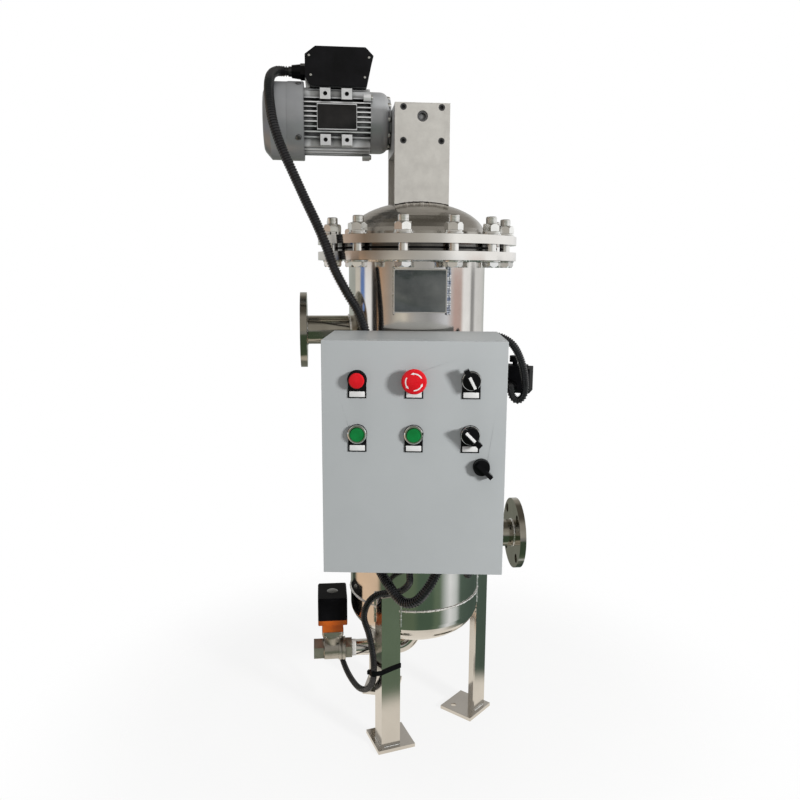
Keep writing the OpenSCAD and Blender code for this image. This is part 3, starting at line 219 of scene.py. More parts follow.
def finish(name, low, high, rough, metal=0.0, patch=14, fine=900, stretch=(1, 1, 1), relief=0.05,
           worn=None, grime=0.0, **sockets):
    """Material with patchy colour, uneven gloss, fine relief and, where given, a lighter tint on sharp edges
    and painted shade in hollows.
    """
    material = bpy.data.materials.new(name)
    material.use_nodes = True
    tree = material.node_tree
    shader = tree.nodes["Principled BSDF"]
    colour = blend_colours(tree, grain(tree, patch), low, high)
    texture = grain(tree, fine, 3.0, stretch)
    # Lighter tint on sharp edges, where the pointiness is high
    if worn:
        geometry = put(tree, "ShaderNodeNewGeometry")
        edge = put(tree, "ShaderNodeMapRange",
                   {"From Min": EDGE_START, "From Max": EDGE_FULL, "To Max": EDGE_SHARE})
        tree.links.new(geometry.outputs["Pointiness"], edge.inputs["Value"])
        mixer = put(tree, "ShaderNodeMix", data_type="RGBA")
        mixer.inputs[MIX_B].default_value = (*worn, 1)
        tree.links.new(edge.outputs["Result"], mixer.inputs[MIX_FACTOR])
        tree.links.new(colour, mixer.inputs[MIX_A])
        colour = mixer.outputs[MIX_RESULT]
    # Painted shade: the colour darkens to a dark tone of the lower colour where ambient occlusion finds a
    # hollow
    if grime:
        hollow = put(tree, "ShaderNodeAmbientOcclusion", {"Distance": grime})
        depth = put(tree, "ShaderNodeMapRange", {"From Min": SHADE_FULL, "From Max": SHADE_END})
        tree.links.new(hollow.outputs["AO"], depth.inputs["Value"])
        mixer = put(tree, "ShaderNodeMix", data_type="RGBA")
        mixer.inputs[MIX_A].default_value = (*(SHADE_TONE * c for c in low), 1)
        tree.links.new(depth.outputs["Result"], mixer.inputs[MIX_FACTOR])
        tree.links.new(colour, mixer.inputs[MIX_B])
        colour = mixer.outputs[MIX_RESULT]
    tree.links.new(colour, shader.inputs["Base Color"])
    tree.links.new(spread(tree, texture, *rough), shader.inputs["Roughness"])
    bump = put(tree, "ShaderNodeBump", {"Strength": relief, "Distance": RELIEF_DEPTH})
    tree.links.new(texture, bump.inputs["Height"])
    tree.links.new(bump.outputs["Normal"], shader.inputs["Normal"])
    shader.inputs["Metallic"].default_value = metal
    for key, value in sockets.items():
        shader.inputs[key.replace("_", " ")].default_value = value
    return material


# grime is the reach of the painted shade that darkens hollows: the gap between the flanges, grooves of fins
# and ribs, and round nuts
FINISH_TABLE = {
    "polished_stainless": ((0.66, 0.64, 0.61), (0.76, 0.74, 0.71), (0.07, 0.13),
        dict(metal=1.0, patch=9, fine=700, stretch=(6, 6, 0.12), relief=0.015)),
    "turned_stainless": ((0.74, 0.72, 0.69), (0.84, 0.82, 0.79), (0.06, 0.10),
        dict(metal=1.0, patch=8, fine=400, stretch=(0.3, 0.3, 8), relief=0.004, grime=0.03)),
    "spun_stainless": ((0.40, 0.38, 0.35), (0.50, 0.48, 0.44), (0.20, 0.28),
        dict(metal=1.0, patch=7, fine=500, stretch=(1, 1, 6), relief=0.02)),
    "brushed_stainless": ((0.64, 0.62, 0.59), (0.72, 0.70, 0.67), (0.11, 0.17),
        dict(metal=1.0, patch=8, fine=500, stretch=(8, 8, 0.1), relief=0.012)),
    # Darker copy of the stainless for the pipes and their flanges: painted shade for the dark surroundings
    # they mirror
    "shaded_pipe_stainless": ((0.33, 0.31, 0.265), (0.44, 0.42, 0.365), (0.09, 0.15),
        dict(metal=1.0, patch=10, fine=700, stretch=(0.2, 6, 6), relief=0.015)),
    "matte_stainless": ((0.55, 0.53, 0.495), (0.63, 0.61, 0.57), (0.46, 0.58),
        dict(metal=0.4, patch=45, fine=1500, relief=0.08)),
    "cast_stainless": ((0.40, 0.38, 0.34), (0.54, 0.52, 0.47), (0.28, 0.42),
        dict(metal=0.95, patch=40, fine=1300, relief=0.20, grime=0.008)),
    "motor_aluminium": ((0.50, 0.51, 0.52), (0.60, 0.61, 0.62), (0.32, 0.44),
        dict(metal=0.5, patch=20, fine=1100, relief=0.06, worn=(0.80, 0.80, 0.80), grime=0.012)),
    "motor_paint": ((0.250, 0.255, 0.262), (0.285, 0.290, 0.297), (0.28, 0.38),
        dict(metal=0.35, patch=18, fine=1300, relief=0.04, grime=0.006)),
    # Lighter copy of the motor paint for the shield: painted light where the drive plate shades it
    "lit_motor_paint": ((0.42, 0.43, 0.44), (0.48, 0.49, 0.50), (0.28, 0.38),
        dict(metal=0.35, patch=18, fine=1300, relief=0.04, grime=0.006)),
    "cabinet_paint": ((0.405, 0.425, 0.430), (0.43, 0.45, 0.455), (0.36, 0.46),
        dict(patch=5, fine=1400, relief=0.08, Coat_Weight=0.08)),
    "black_plastic": ((0.003, 0.003, 0.0035), (0.006, 0.006, 0.007), (0.14, 0.24),
        dict(patch=30, fine=1200, relief=0.02, Specular_IOR_Level=0.14)),
    "dull_plastic": ((0.003, 0.003, 0.0035), (0.006, 0.006, 0.007), (0.46, 0.58),
        dict(patch=30, fine=1200, relief=0.04, Specular_IOR_Level=0.05)),
    "orange_plastic": ((0.50, 0.095, 0.006), (0.60, 0.130, 0.010), (0.32, 0.44),
        dict(patch=40, fine=1200, relief=0.08, Specular_IOR_Level=0.3)),
    "red_plastic": ((0.56, 0.004, 0.010), (0.66, 0.006, 0.014), (0.22, 0.32),
        dict(patch=60, fine=1500, relief=0.04, Specular_IOR_Level=0.35)),
    "green_plastic": ((0.002, 0.15, 0.030), (0.003, 0.195, 0.042), (0.26, 0.36),
        dict(patch=60, fine=1500, relief=0.04, Specular_IOR_Level=0.3)),
    "gasket_rubber": ((0.006, 0.006, 0.006), (0.014, 0.014, 0.014), (0.62, 0.78),
        dict(patch=60, fine=1500, relief=0.15, Specular_IOR_Level=0.2)),
    "conduit_black": ((0.011, 0.011, 0.012), (0.019, 0.019, 0.021), (0.16, 0.26),
        dict(patch=60, fine=1500, relief=0.02, grime=0.0025, Specular_IOR_Level=0.6)),
    "screw_steel": ((0.010, 0.010, 0.011), (0.024, 0.024, 0.026), (0.34, 0.48),
        dict(metal=0.6, patch=90, fine=2000, relief=0.10, worn=(0.10, 0.10, 0.10))),
    "zinc_steel": ((0.80, 0.80, 0.78), (0.90, 0.90, 0.88), (0.08, 0.16),
        dict(metal=1.0, patch=25, fine=1200, relief=0.02, grime=0.003)),
    "dark_steel": ((0.16, 0.16, 0.17), (0.24, 0.24, 0.25), (0.34, 0.50),
        dict(metal=0.9, patch=40, fine=1500, relief=0.08)),
    "wheel_bronze": ((0.36, 0.22, 0.08), (0.48, 0.30, 0.11), (0.30, 0.44),
        dict(metal=1.0, patch=50, fine=1500, relief=0.08)),
    "control_grey": ((0.50, 0.49, 0.46), (0.60, 0.59, 0.56), (0.44, 0.56),
        dict(patch=30, fine=1400, relief=0.06)),
    "weld_steel": ((0.62, 0.61, 0.59), (0.95, 0.95, 0.94), (0.14, 0.34),
        dict(metal=1.0, patch=160, fine=1800, relief=0.25)),
    "weld_tinted": ((0.26, 0.31, 0.44), (0.92, 0.92, 0.94), (0.14, 0.32),
        dict(metal=1.0, patch=130, fine=1800, relief=0.25)),
    "weld_matte": ((0.40, 0.37, 0.33), (0.66, 0.63, 0.58), (0.40, 0.56),
        dict(metal=0.8, patch=130, fine=1800, relief=0.30)),
    "weld_burn": ((0.020, 0.018, 0.016), (0.080, 0.072, 0.062), (0.50, 0.66),
        dict(metal=0.6, patch=110, fine=1800, relief=0.30)),
    "chrome": ((0.72, 0.72, 0.72), (0.82, 0.82, 0.82), (0.07, 0.13),
        dict(metal=1.0, patch=90, fine=1500, relief=0.02)),
    "label_white": ((0.70, 0.70, 0.69), (0.76, 0.76, 0.75), (0.40, 0.52),
        dict(patch=80, fine=1600, relief=0.04)),
    "plate_slate": ((0.090, 0.102, 0.106), (0.190, 0.202, 0.202), (0.16, 0.26),
        dict(metal=0.7, patch=11, stretch=(6, 1, 0.4), relief=0.02)),
    "plate_black": ((0.006, 0.006, 0.006), (0.014, 0.013, 0.013), (0.24, 0.36),
        dict(patch=30, fine=1400, Specular_IOR_Level=0.25)),
    "dark_plate": ((0.040, 0.042, 0.046), (0.060, 0.062, 0.067), (0.40, 0.52),
        dict(patch=40, fine=1400, relief=0.06)),
    "tape_white": ((0.74, 0.73, 0.70), (0.84, 0.83, 0.80), (0.55, 0.70),
        dict(patch=120, fine=1200, relief=0.30)),
    "window_grey": ((0.055, 0.055, 0.050), (0.10, 0.10, 0.095), (0.06, 0.10),
        dict(patch=60, fine=1200, relief=0.02, Coat_Weight=0.6)),
}
FINISHES = {name: finish(name + "_finish", low, high, rough, **extra)
            for name, (low, high, rough, extra) in FINISH_TABLE.items()}

# Nodes whose finish differs from that of their slot
NODE_FINISH = {
    "shell_flange": "turned_stainless", "cover_flange": "turned_stainless", "cover_dome": "spun_stainless",
    "front_plate": "matte_stainless", "back_plate": "matte_stainless", "drain_elbow": "polished_stainless",
    "fan_cowl": "motor_paint", "motor_shield": "lit_motor_paint", "pressure_switch": "dull_plastic",
    "actuator_cover": "dull_plastic", "inlet_pipe": "shaded_pipe_stainless", "inlet_flange": "shaded_pipe_stainless",
    "outlet_pipe": "shaded_pipe_stainless", "outlet_flange": "shaded_pipe_stainless"}

# Nodes with rounded edges, and the width of the rounding in millimetres
SOFT_EDGES = {
    "cabinet_door": 1.2, "cabinet_body": 1.0, "front_plate": 0.8, "back_plate": 0.8, "leg_front": 0.7,
    "leg_right": 0.7, "leg_rear": 0.7, "foot_front": 0.6, "foot_right": 0.6, "foot_rear": 0.6,
    "terminal_box": 2.0, "actuator_cover": 1.6, "actuator_base": 1.2, "gearbox_housing": 0.8,
    "pressure_switch": 1.0, "selector_upper": 0.8, "selector_lower": 0.8, "lock_cam": 0.8,
    "green_button_left": 0.6, "green_button_mid": 0.6, "valve_body": 0.5, "valve_bracket": 0.6,
    "cable_glands": 0.5, "nameplate_bracket": 0.4, "stud_washers": 0.3}
WELD_GAP = 0.01 * MM
BEVEL_ANGLE = math.radians(38)
SHARP_ANGLE = math.radians(40)


def dress_nodes():
    """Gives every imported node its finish, and soft edges where it shows them."""
    for name, obj in nodes.items():
        slot = obj.material_slots[0].material.name.split(".")[0]
        obj.material_slots[0].material = FINISHES[NODE_FINISH.get(name, slot)]
        if name in SOFT_EDGES:
            weld = obj.modifiers.new("weld", "WELD")
            weld.merge_threshold = WELD_GAP
            bevel = obj.modifiers.new("bevel", "BEVEL")
            bevel.width = SOFT_EDGES[name] * MM
            bevel.segments = 2
            bevel.limit_method = "ANGLE"
            bevel.angle_limit = BEVEL_ANGLE
            bevel.harden_normals = True


# Mesh building

def piece(name, verts, faces, finish_name, body="vessel", slot=None):
    """Makes a mesh piece that rides on a body."""
    mesh = bpy.data.meshes.new(name)
    mesh.from_pydata([tuple(v) for v in verts], [], faces)
    mesh.update()
    mesh.materials.append(FINISHES[finish_name])
    obj = bpy.data.objects.new(name, mesh)
    scene.collection.objects.link(obj)
    mesh.shade_smooth()
    mesh.set_sharp_from_angle(angle=SHARP_ANGLE)
    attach(obj, body)
    return obj


def joined(parts):
    """Verts and faces of several parts as one mesh."""
    verts, faces = [], []
    for part_verts, part_faces in parts:
        base = len(verts)
        verts += part_verts
        faces += [[i + base for i in f] for f in part_faces]
    return verts, faces


def placed(part, matrix):
    """A part moved from its local frame in millimetres to metres."""
    verts, faces = part
    return [matrix @ (Vector(v) * MM) for v in verts], faces


def smooth_path(points, step):
    """Points about a step apart on a smooth curve through all given points."""
    p = [Vector(q) for q in points]
    p = [2 * p[0] - p[1]] + p + [2 * p[-1] - p[-2]]
    out = []
    for a, b, c, d in zip(p, p[1:], p[2:], p[3:]):
        count = max(1, round((c - b).length / step))
        for k in range(count):
            t = k / count
            out.append(0.5 * (2 * b + (c - a) * t + (2 * a - 5 * b + 4 * c - d) * t * t
                              + (3 * b - a - 3 * c + d) * t ** 3))
    return out + [p[-2]]


def loft(rings, closed=False):
    """Skin over rings of equally many points, capped at both ends unless it closes on itself."""
    count, sides = len(rings), len(rings[0])
    verts = [p for points in rings for p in points]
    faces = []
    for i in range(count if closed else count - 1):
        a, b = i * sides, ((i + 1) % count) * sides
        for k in range(sides):
            j = (k + 1) % sides
            faces.append([a + k, a + j, b + j, b + k])
    if not closed:
        faces.append(list(range(sides))[::-1])
        faces.append([(count - 1) * sides + k for k in range(sides)])
    return verts, faces


def sweep(points, radii, sides=12, closed=False):
    """Tube of changing radius along points, with no twist."""
    count = len(points)
    rings = []
    side = None
    for i, p in enumerate(points):
        before = points[i - 1] if (closed or i) else p
        after = points[(i + 1) % count] if (closed or i < count - 1) else p
        heading = (after - before).normalized()
        if side is None:
            side = heading.cross(UP if abs(heading.z) < 0.9 else Vector((0, 1, 0)))
        side = (side - heading * side.dot(heading)).normalized()
        other = heading.cross(side)
        angles = [2 * math.pi * k / sides for k in range(sides)]
        rings.append([p + radii[i] * (side * math.cos(t) + other * math.sin(t)) for t in angles])
    return loft(rings, closed)


def lathe(profile, steps=48, closed=False):
    """Revolves (radius, height) points about local z, in millimetres."""
    verts, faces = [], []
    count = len(profile)
    for k in range(steps):
        angle = 2 * math.pi * k / steps
        verts += [(r * math.cos(angle), r * math.sin(angle), h) for r, h in profile]
    for k in range(steps):
        a, b = k * count, ((k + 1) % steps) * count
        for i in range(count if closed else count - 1):
            j = (i + 1) % count
            faces.append([a + i, b + i, b + j, a + j])
    if not closed:
        faces.append([k * count for k in range(steps)][::-1])
        faces.append([k * count + count - 1 for k in range(steps)])
    return verts, faces


def slab(outline, thick, edge=0.2):
    """Flat piece with the given outline, standing on local z = 0, with a chamfered front, in millimetres."""
    count = len(outline)
    cx = sum(x for x, y in outline) / count
    cy = sum(y for x, y in outline) / count
    half_w = max(abs(x - cx) for x, y in outline)
    half_h = max(abs(y - cy) for x, y in outline)
    rings = ((1, 1, 0), (1, 1, thick - edge), (1 - edge / half_w, 1 - edge / half_h, thick))
    verts = [(cx + (x - cx) * sx, cy + (y - cy) * sy, h) for sx, sy, h in rings for x, y in outline]
    faces = [list(range(count))[::-1], [2 * count + k for k in range(count)]]
    for level in (0, count):
        for k in range(count):
            j = (k + 1) % count
            faces.append([level + k, level + j, level + count + j, level + count + k])
    return verts, faces


def round_rect(w, h, r, cx=0.0, cy=0.0, steps=5):
    """Outline of a rectangle with round corners."""
    out = []
    for sx, sy, start in ((1, 1, 0), (-1, 1, 90), (-1, -1, 180), (1, -1, 270)):
        for k in range(steps + 1):
            angle = math.radians(start + 90 * k / steps)
            x = cx + sx * (w / 2 - r) + r * math.cos(angle)
            y = cy + sy * (h / 2 - r) + r * math.sin(angle)
            out.append((x, y))
    return out


# Camera and conduits

def set_camera():
    """Camera at the photograph's viewing angle."""
    forward = Vector((math.sin(YAW) * math.cos(PITCH), math.cos(YAW) * math.cos(PITCH), -math.sin(PITCH)))
    level = Vector((math.cos(YAW), -math.sin(YAW), 0))
    over = level.cross(forward)
    right = math.cos(ROLL) * level + math.sin(ROLL) * over
    above = math.cos(ROLL) * over - math.sin(ROLL) * level
    camera = bpy.data.cameras.new("photo_camera")
    camera.sensor_width = SENSOR
    camera.lens = FOCAL_PX / FRAME_PX * SENSOR
    camera.clip_start = 0.01
    obj = bpy.data.objects.new("photo_camera", camera)
    obj.matrix_world = frame_matrix(CAMERA_AT, right, above, -forward)
    scene.collection.objects.link(obj)
    scene.camera = obj


def conduit(name, route, diameter, pitch):
    """Corrugated hose along a route, in place of its plain tube."""
    steps, sides, rib_share, cuff, tucked = 4, 14, 0.11, 5, 2 * MM
    path = smooth_path(route, pitch / steps)
    crest, root = diameter / 2, diameter / 2 - rib_share * diameter
    start = path[0] - tucked * (path[1] - path[0]).normalized()
    end = path[-1] + tucked * (path[-1] - path[-2]).normalized()
    line = [start] + path + [end]
    radii = []
    for i in range(len(line)):
        at_end = i < cuff or i >= len(line) - cuff
        radii.append(crest if at_end or i % steps < steps / 2 else root)
    verts, faces = sweep(line, radii, sides)
    obj = piece(name + "_hose", verts, faces, "conduit_black", slot="conduit_black")
    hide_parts(name)


set_camera()
for row in CONDUITS:
    conduit(*row)
dress_nodes()


# Weld beads

def bead(points, radius, seed, closed=False):
    """Rippled weld bead along points in metres, its radius in millimetres."""
    step, ripple_steps, sides = 1.1 * MM, 4, 8
    swell_range, ripple_low, ripple_rise, end_share = (0.82, 1.18), 0.86, 0.2, 0.4
    draw = random.Random(seed)
    path = smooth_path(points + [points[0]] if closed else points, step)
    if closed:
        path = path[:-1]
    radii = []
    swell = 1.0
    for i in range(len(path)):
        if i % ripple_steps == 0:
            swell = draw.uniform(*swell_range)
        phase = (i % ripple_steps + 0.5) / ripple_steps
        ripple = ripple_low + ripple_rise * abs(math.sin(math.pi * phase))
        radii.append(radius * MM * ripple * swell)
    if not closed:
        radii[0] = radii[-1] = end_share * radius * MM
    return sweep(path, radii, sides, closed)


def ring(radius, z, count=72):
    """Points of a level circle round the vessel axis, in metres."""
    angles = [2 * math.pi * k / count for k in range(count)]
    return [Vector((radius * math.cos(t), radius * math.sin(t), z)) for t in angles]


def leg_point(angle, x, y, z):
    """A point of a leg's own frame, x outwards, in millimetres."""
    c, s = math.cos(math.radians(angle)), math.sin(math.radians(angle))
    return turned(x * c - y * s, x * s + y * c, z)


def vessel_welds():
    """Seams of the head and the flanges."""
    parts = [bead(ring(SHELL_R, SEAM_Z), 2.4, 1, True), bead(ring(SHELL_R, FLANGE_Z), 2.6, 2, True),
             bead(ring(SHELL_R, DOME_Z), 2.0, 3, True)]
    piece("vessel_weld_seams", *joined(parts), "weld_steel")


def nozzle_welds():
    """Saddle seams on the shell and ring seams behind the nozzle flanges."""
    parts = []
    shell = SHELL_R / MM
    count = 40
    for seed, (side, z, reach) in enumerate(NOZZLES):
        saddle, collar = [], []
        for k in range(count):
            angle = 2 * math.pi * k / count
            y, dz = NOZZLE_R * math.cos(angle), NOZZLE_R * math.sin(angle)
            saddle.append(turned(side * math.sqrt(shell * shell - y * y), y, z + dz))
            collar.append(turned(side * (reach - NOZZLE_FLANGE_T), y, z + dz))
        parts += [bead(saddle, 2.8, 10 + seed, True), bead(collar, 2.2, 20 + seed, True)]
    piece("nozzle_weld_seams", *joined(parts), "weld_steel")


def leg_welds():
    """Seams of the legs on the vessel and on the foot plates."""
    steps, proud, foot_proud, above_head, below_top = 8, 0.5, 0.8, 66, 1
    parts = []
    inner = LEG_CORNER_R - LEG_HALF
    low, high = HEAD_BOTTOM / MM + above_head, LEG_TOP / MM - below_top
    for index, angle in enumerate(LEG_ANGLES):
        for s in (-1, 1):
            edge = s * (LEG_HALF + proud)
            line = [leg_point(angle, inner, edge, low + (high - low) * k / steps) for k in range(steps + 1)]
            parts.append(bead(line, 2.4, 30 + 2 * index + s))
            foot = []
            for k in range(1, steps + 1):
                across = LEG_HALF * k / steps
                foot.append(leg_point(angle, LEG_CORNER_R + foot_proud - across, s * across, FOOT_TOP / MM))
            parts.append(bead(foot, 2.0, 40 + 2 * index + s))
    piece("leg_weld_seams", *joined(parts), "weld_steel")


def drive_welds():
    """Seams of the two drive plates on the dome, with a burnt line above each."""
    half_steps, burn_rise = 8, Vector((0, 0, 3.8 * MM))
    parts, burn = [], []
    r, rise = SHELL_R / MM, DOME_RISE / MM
    for seed, y in ((50, -DRIVE_PLATE_Y), (51, DRIVE_PLATE_Y)):
        line = []
        for k in range(2 * half_steps + 1):
            x = DRIVE_PLATE_HALF * (k / half_steps - 1)
            line.append(turned(x, y, DOME_Z / MM + rise * math.sqrt(1 - (x * x + y * y) / (r * r))))
        parts.append(bead(line, 3.4, seed))
        burn.append(bead([p + burn_rise for p in line], 1.5, seed + 2))
    piece("drive_weld_seams", *joined(parts), "weld_matte")
    piece("drive_weld_burns", *joined(burn), "weld_burn")


def plate_welds():
    """Seams of the nameplate frame's folded sides on the shell."""
    low, high = PLATE_FACE
    steps = 8
    seams = (("left", 60, low.x - 0.6 * MM, 2.2, "weld_steel"),
             ("right", 61, high.x + 1.2 * MM, 3.8, "weld_tinted"),
             ("outer", 62, high.x + 6 * MM, 2.4, "weld_tinted"))
    for name, seed, x, radius, finish_name in seams:
        y = -math.sqrt(SHELL_R ** 2 - x * x)
        line = [Vector((x, y, low.z + (high.z - low.z) * (k - 0.5) / steps)) for k in range(steps + 2)]
        piece("plate_weld_" + name, *bead(line, radius, seed), finish_name)


vessel_welds()
nozzle_welds()
leg_welds()
drive_welds()
plate_welds()


# Studs and screws

def stud_threads():
    """Screw threads on the stud ends above the nuts."""
    pitch, depth, proud, sides, rows = 2.5, 0.75, 0.15, 24, 4
    above_nut, below_end = 0.2, 1.6
    low, high = NUT_TOP + above_nut, STUD_TOP / MM - below_end
    steps = round((high - low) / pitch * rows)
    parts = []
    for n in range(STUD_COUNT):
        angle = math.radians(180 / STUD_COUNT + 360 * n / STUD_COUNT)
        cx, cy = STUD_CIRCLE_R * math.cos(angle), STUD_CIRCLE_R * math.sin(angle)
        rings = []
        for i in range(steps + 1):
            z = low + (high - low) * i / steps
            points = []
            for k in range(sides):
                phase = (z / pitch - k / sides) % 1
                r = STUD_R + proud + depth * (abs(phase - 0.5) - 0.25)
                turn = 2 * math.pi * k / sides
                points.append(turned(cx + r * math.cos(turn), cy + r * math.sin(turn), z))
            rings.append(points)
        parts.append(loft(rings))
    piece("stud_threads", *joined(parts), "zinc_steel", slot="zinc_steel")


def round_head(r, h):
    """Domed screw head with a hollow for the driver, on local z = 0, in millimetres."""
    return lathe([(0.01, 0), (r, 0), (r, 0.45 * h), (0.84 * r, 0.85 * h), (0.55 * r, h), (0.42 * r, 0.95 * h),
                  (0.38 * r, 0.5 * h), (0.01, 0.5 * h)], 24)


def cowl_trim():
    """Rolled band of the fan cowl and the screws in it."""
    inset, lip, rise, start, slope, end = 0.2, 0.1, 0.9, 1, 29.5, 33
    band = [(COWL_R - inset, start), (COWL_R - inset, end), (COWL_R + lip, end), (COWL_R + rise, slope),
            (COWL_R + rise, start)]
    rolled = placed(lathe(band, 96, True), motor_place(COWL_X))
    piece("cowl_band", *rolled, "motor_paint", slot="motor_aluminium")
    first_screw, screw_count, screw_along = 122, 4, 10
    parts = []
    for k in range(screw_count):
        angle = math.radians(first_screw + 360 / screw_count * k)
        radial = Vector((math.cos(angle), -math.sin(angle), 0))
        seat = frame_matrix(radial * (COWL_R + rise) * MM, UP, radial.cross(UP) * -1, radial)
        parts.append(placed(round_head(5.2, 3.2), motor_place(COWL_X + screw_along) @ seat))
    piece("cowl_screws", *joined(parts), "dark_steel", slot="dark_steel")


def motor_screws():
    """Screws of the bolt lugs and the ring at the gear case."""
    back = (RIGHT, FRONT, -UP)
    # Place along the axis, radius of the circle, angle, and the head's radius and height
    places = [(FRAME_X, 66, a, 5.2, 4.0) for a in (56, 176, 296)]
    places += [(60, 46, 18 + 36 * k, 5.0, 8.0) for k in range(10)]
    parts = []
    for along, r, degrees, head_r, head_h in places:
        angle = math.radians(degrees)
        at = Vector((r * math.cos(angle), -r * math.sin(angle), 0)) * MM
        parts.append(placed(round_head(head_r, head_h), motor_place(along) @ frame_matrix(at, *back)))
    piece("motor_screws", *joined(parts), "zinc_steel", slot="zinc_steel")


def front_place(x, y, z):
    """Frame on a face that looks to the front of the turned frame: local x right, y up, z out."""
    return frame_matrix(turned(x, y, z), turned(1, 0, 0) / MM, UP, -turned(0, 1, 0) / MM)


def small_screws():
    """Corner screws of the terminal box and bolt ends of the valve pad."""
    parts = [placed(round_head(2.4, 1.6), front_place(x, BOX_FRONT_Y, z))
             for x, z in ((-210, 1371), (-96, 1370), (-207, 1336), (-104, 1334))]
    for degrees in (-50, -130):
        angle = math.radians(degrees)
        out = turned(math.cos(angle), math.sin(angle), 0) / MM
        place = frame_matrix(turned(VALVE_X, 0, PAD_Z) + out * PAD_R * MM, UP.cross(out), UP, out)
        parts.append(placed(round_head(2.8, 2.4), place))
    piece("small_screws", *joined(parts), "zinc_steel", slot="zinc_steel")


def access_plug():
    """Threaded ring in the access hole of the front drive plate."""
    below_top = 24
    profile = [(6.4, -8), (6.4, -4), (7.2, -3.2), (9.6, -3.2), (9.6, -8)]
    place = front_place(0, -DRIVE_PLATE_Y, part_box("front_plate")[1].z / MM - below_top)
    piece("access_plug", *placed(lathe(profile, 40, True), place), "dark_steel", slot="dark_steel")


stud_threads()
cowl_trim()
motor_screws()
small_screws()
access_plug()


# Plates

def nameplate():
    """Bare plate on the folded frame."""
    margin, corner, thick = 4, 2, 0.8
    low, high = PLATE_FACE
    w, h = (high.x - low.x) / MM - margin, (high.z - low.z) / MM - margin
    centre = Vector(((low.x + high.x) / 2, low.y, (low.z + high.z) / 2))
    place = frame_matrix(centre, RIGHT, UP, FRONT)
    piece("vessel_nameplate", *placed(slab(round_rect(w, h, corner), thick), place), "plate_slate")


def motor_plate():
    """Bare plate on the motor's seat."""
    along, seat, w, h, corner, thick = 158, 62, 74, 44, 2, 0.7
    place = motor_place(along) @ frame_matrix(FRONT * seat * MM, UP, RIGHT, FRONT)
    piece("motor_nameplate", *placed(slab(round_rect(w, h, corner), thick), place), "plate_black")


nameplate()
motor_plate()


# Door controls

def legend_labels():
    """Blank label strips on the legend plates."""
    w, h, corner, drop, thick, edge = 25, 9, 0.8, 23.5, 0.4, 0.1
    strip = slab(round_rect(w, h, corner, 0, -drop), thick, edge)
    parts = []
    for x in CONTROL_X:
        for z in CONTROL_Z:
            parts.append(placed(strip, door_place(x, z, LEGEND_T)))
    piece("legend_labels", *joined(parts), "label_white", "door")


def bezel_rings():
    """Chrome rings of the flush buttons and thin rings of the selectors."""
    wide = [(11.5, 1.6), (11.5, 7.6), (12.3, 8.5), (14.2, 8.5), (15.4, 7.4), (15.4, 1.6)]
    thin = [(13.2, 1.6), (13.2, 7.8), (13.7, 8.2), (14.9, 8.2), (15.5, 7.5), (15.5, 1.6)]
    parts = [placed(lathe(wide, 64, True), door_place(x, CONTROL_Z[1])) for x in CONTROL_X[:2]]
    parts += [placed(lathe(thin, 64, True), door_place(CONTROL_X[2], z)) for z in CONTROL_Z]
    piece("bezel_rings", *joined(parts), "chrome", "door")


def stop_marks():
    """Three turn arrows on the emergency stop."""
    radius, half, count, span, thick = 13.4, 0.95, 14, 84, 0.5
    head_steps, head_wide, tip = 3, 2.0, 0.05
    rim, crown, crown_r, proud = 9.35, 2.4, 18, 0.12

    def height(r):
        """Height of the mushroom's domed top at a radius."""
        return STOP_HEAD + rim + crown * math.sin(math.radians(90 * (1 - r / crown_r))) + proud

    parts = []
    for start in (28, 148, 268):
        rings = []
        for k in range(count + 1):
            angle = math.radians(start + span * k / count)
            wide = half
            if k >= count - head_steps:
                wide = head_wide * half * (count - k) / head_steps + tip
            points = []
            for w, h in ((wide, 0), (wide, -thick), (-wide, -thick), (-wide, 0)):
                r = radius + w
                points.append((r * math.cos(angle), r * math.sin(angle), height(r) + h))
            rings.append(points)
        parts.append(placed(loft(rings), door_place(CONTROL_X[1], CONTROL_Z[0])))
    piece("stop_marks", *joined(parts), "label_white", "estop")


def selector_bars():
    """White pointer bars on the selector handles."""
    w, h, corner, drop, thick, edge = 4.6, 21, 0.6, 1, 0.5, 0.15
    bar = slab(round_rect(w, h, corner, 0, -drop), thick, edge)
    for body, row, angle in SELECTORS:
        spin = Matrix.Rotation(math.radians(angle), 4, "Z")
        place = door_place(CONTROL_X[2], CONTROL_Z[row], SELECTOR_TOP) @ spin
        piece(body + "_bar", *placed(bar, place), "label_white", body)


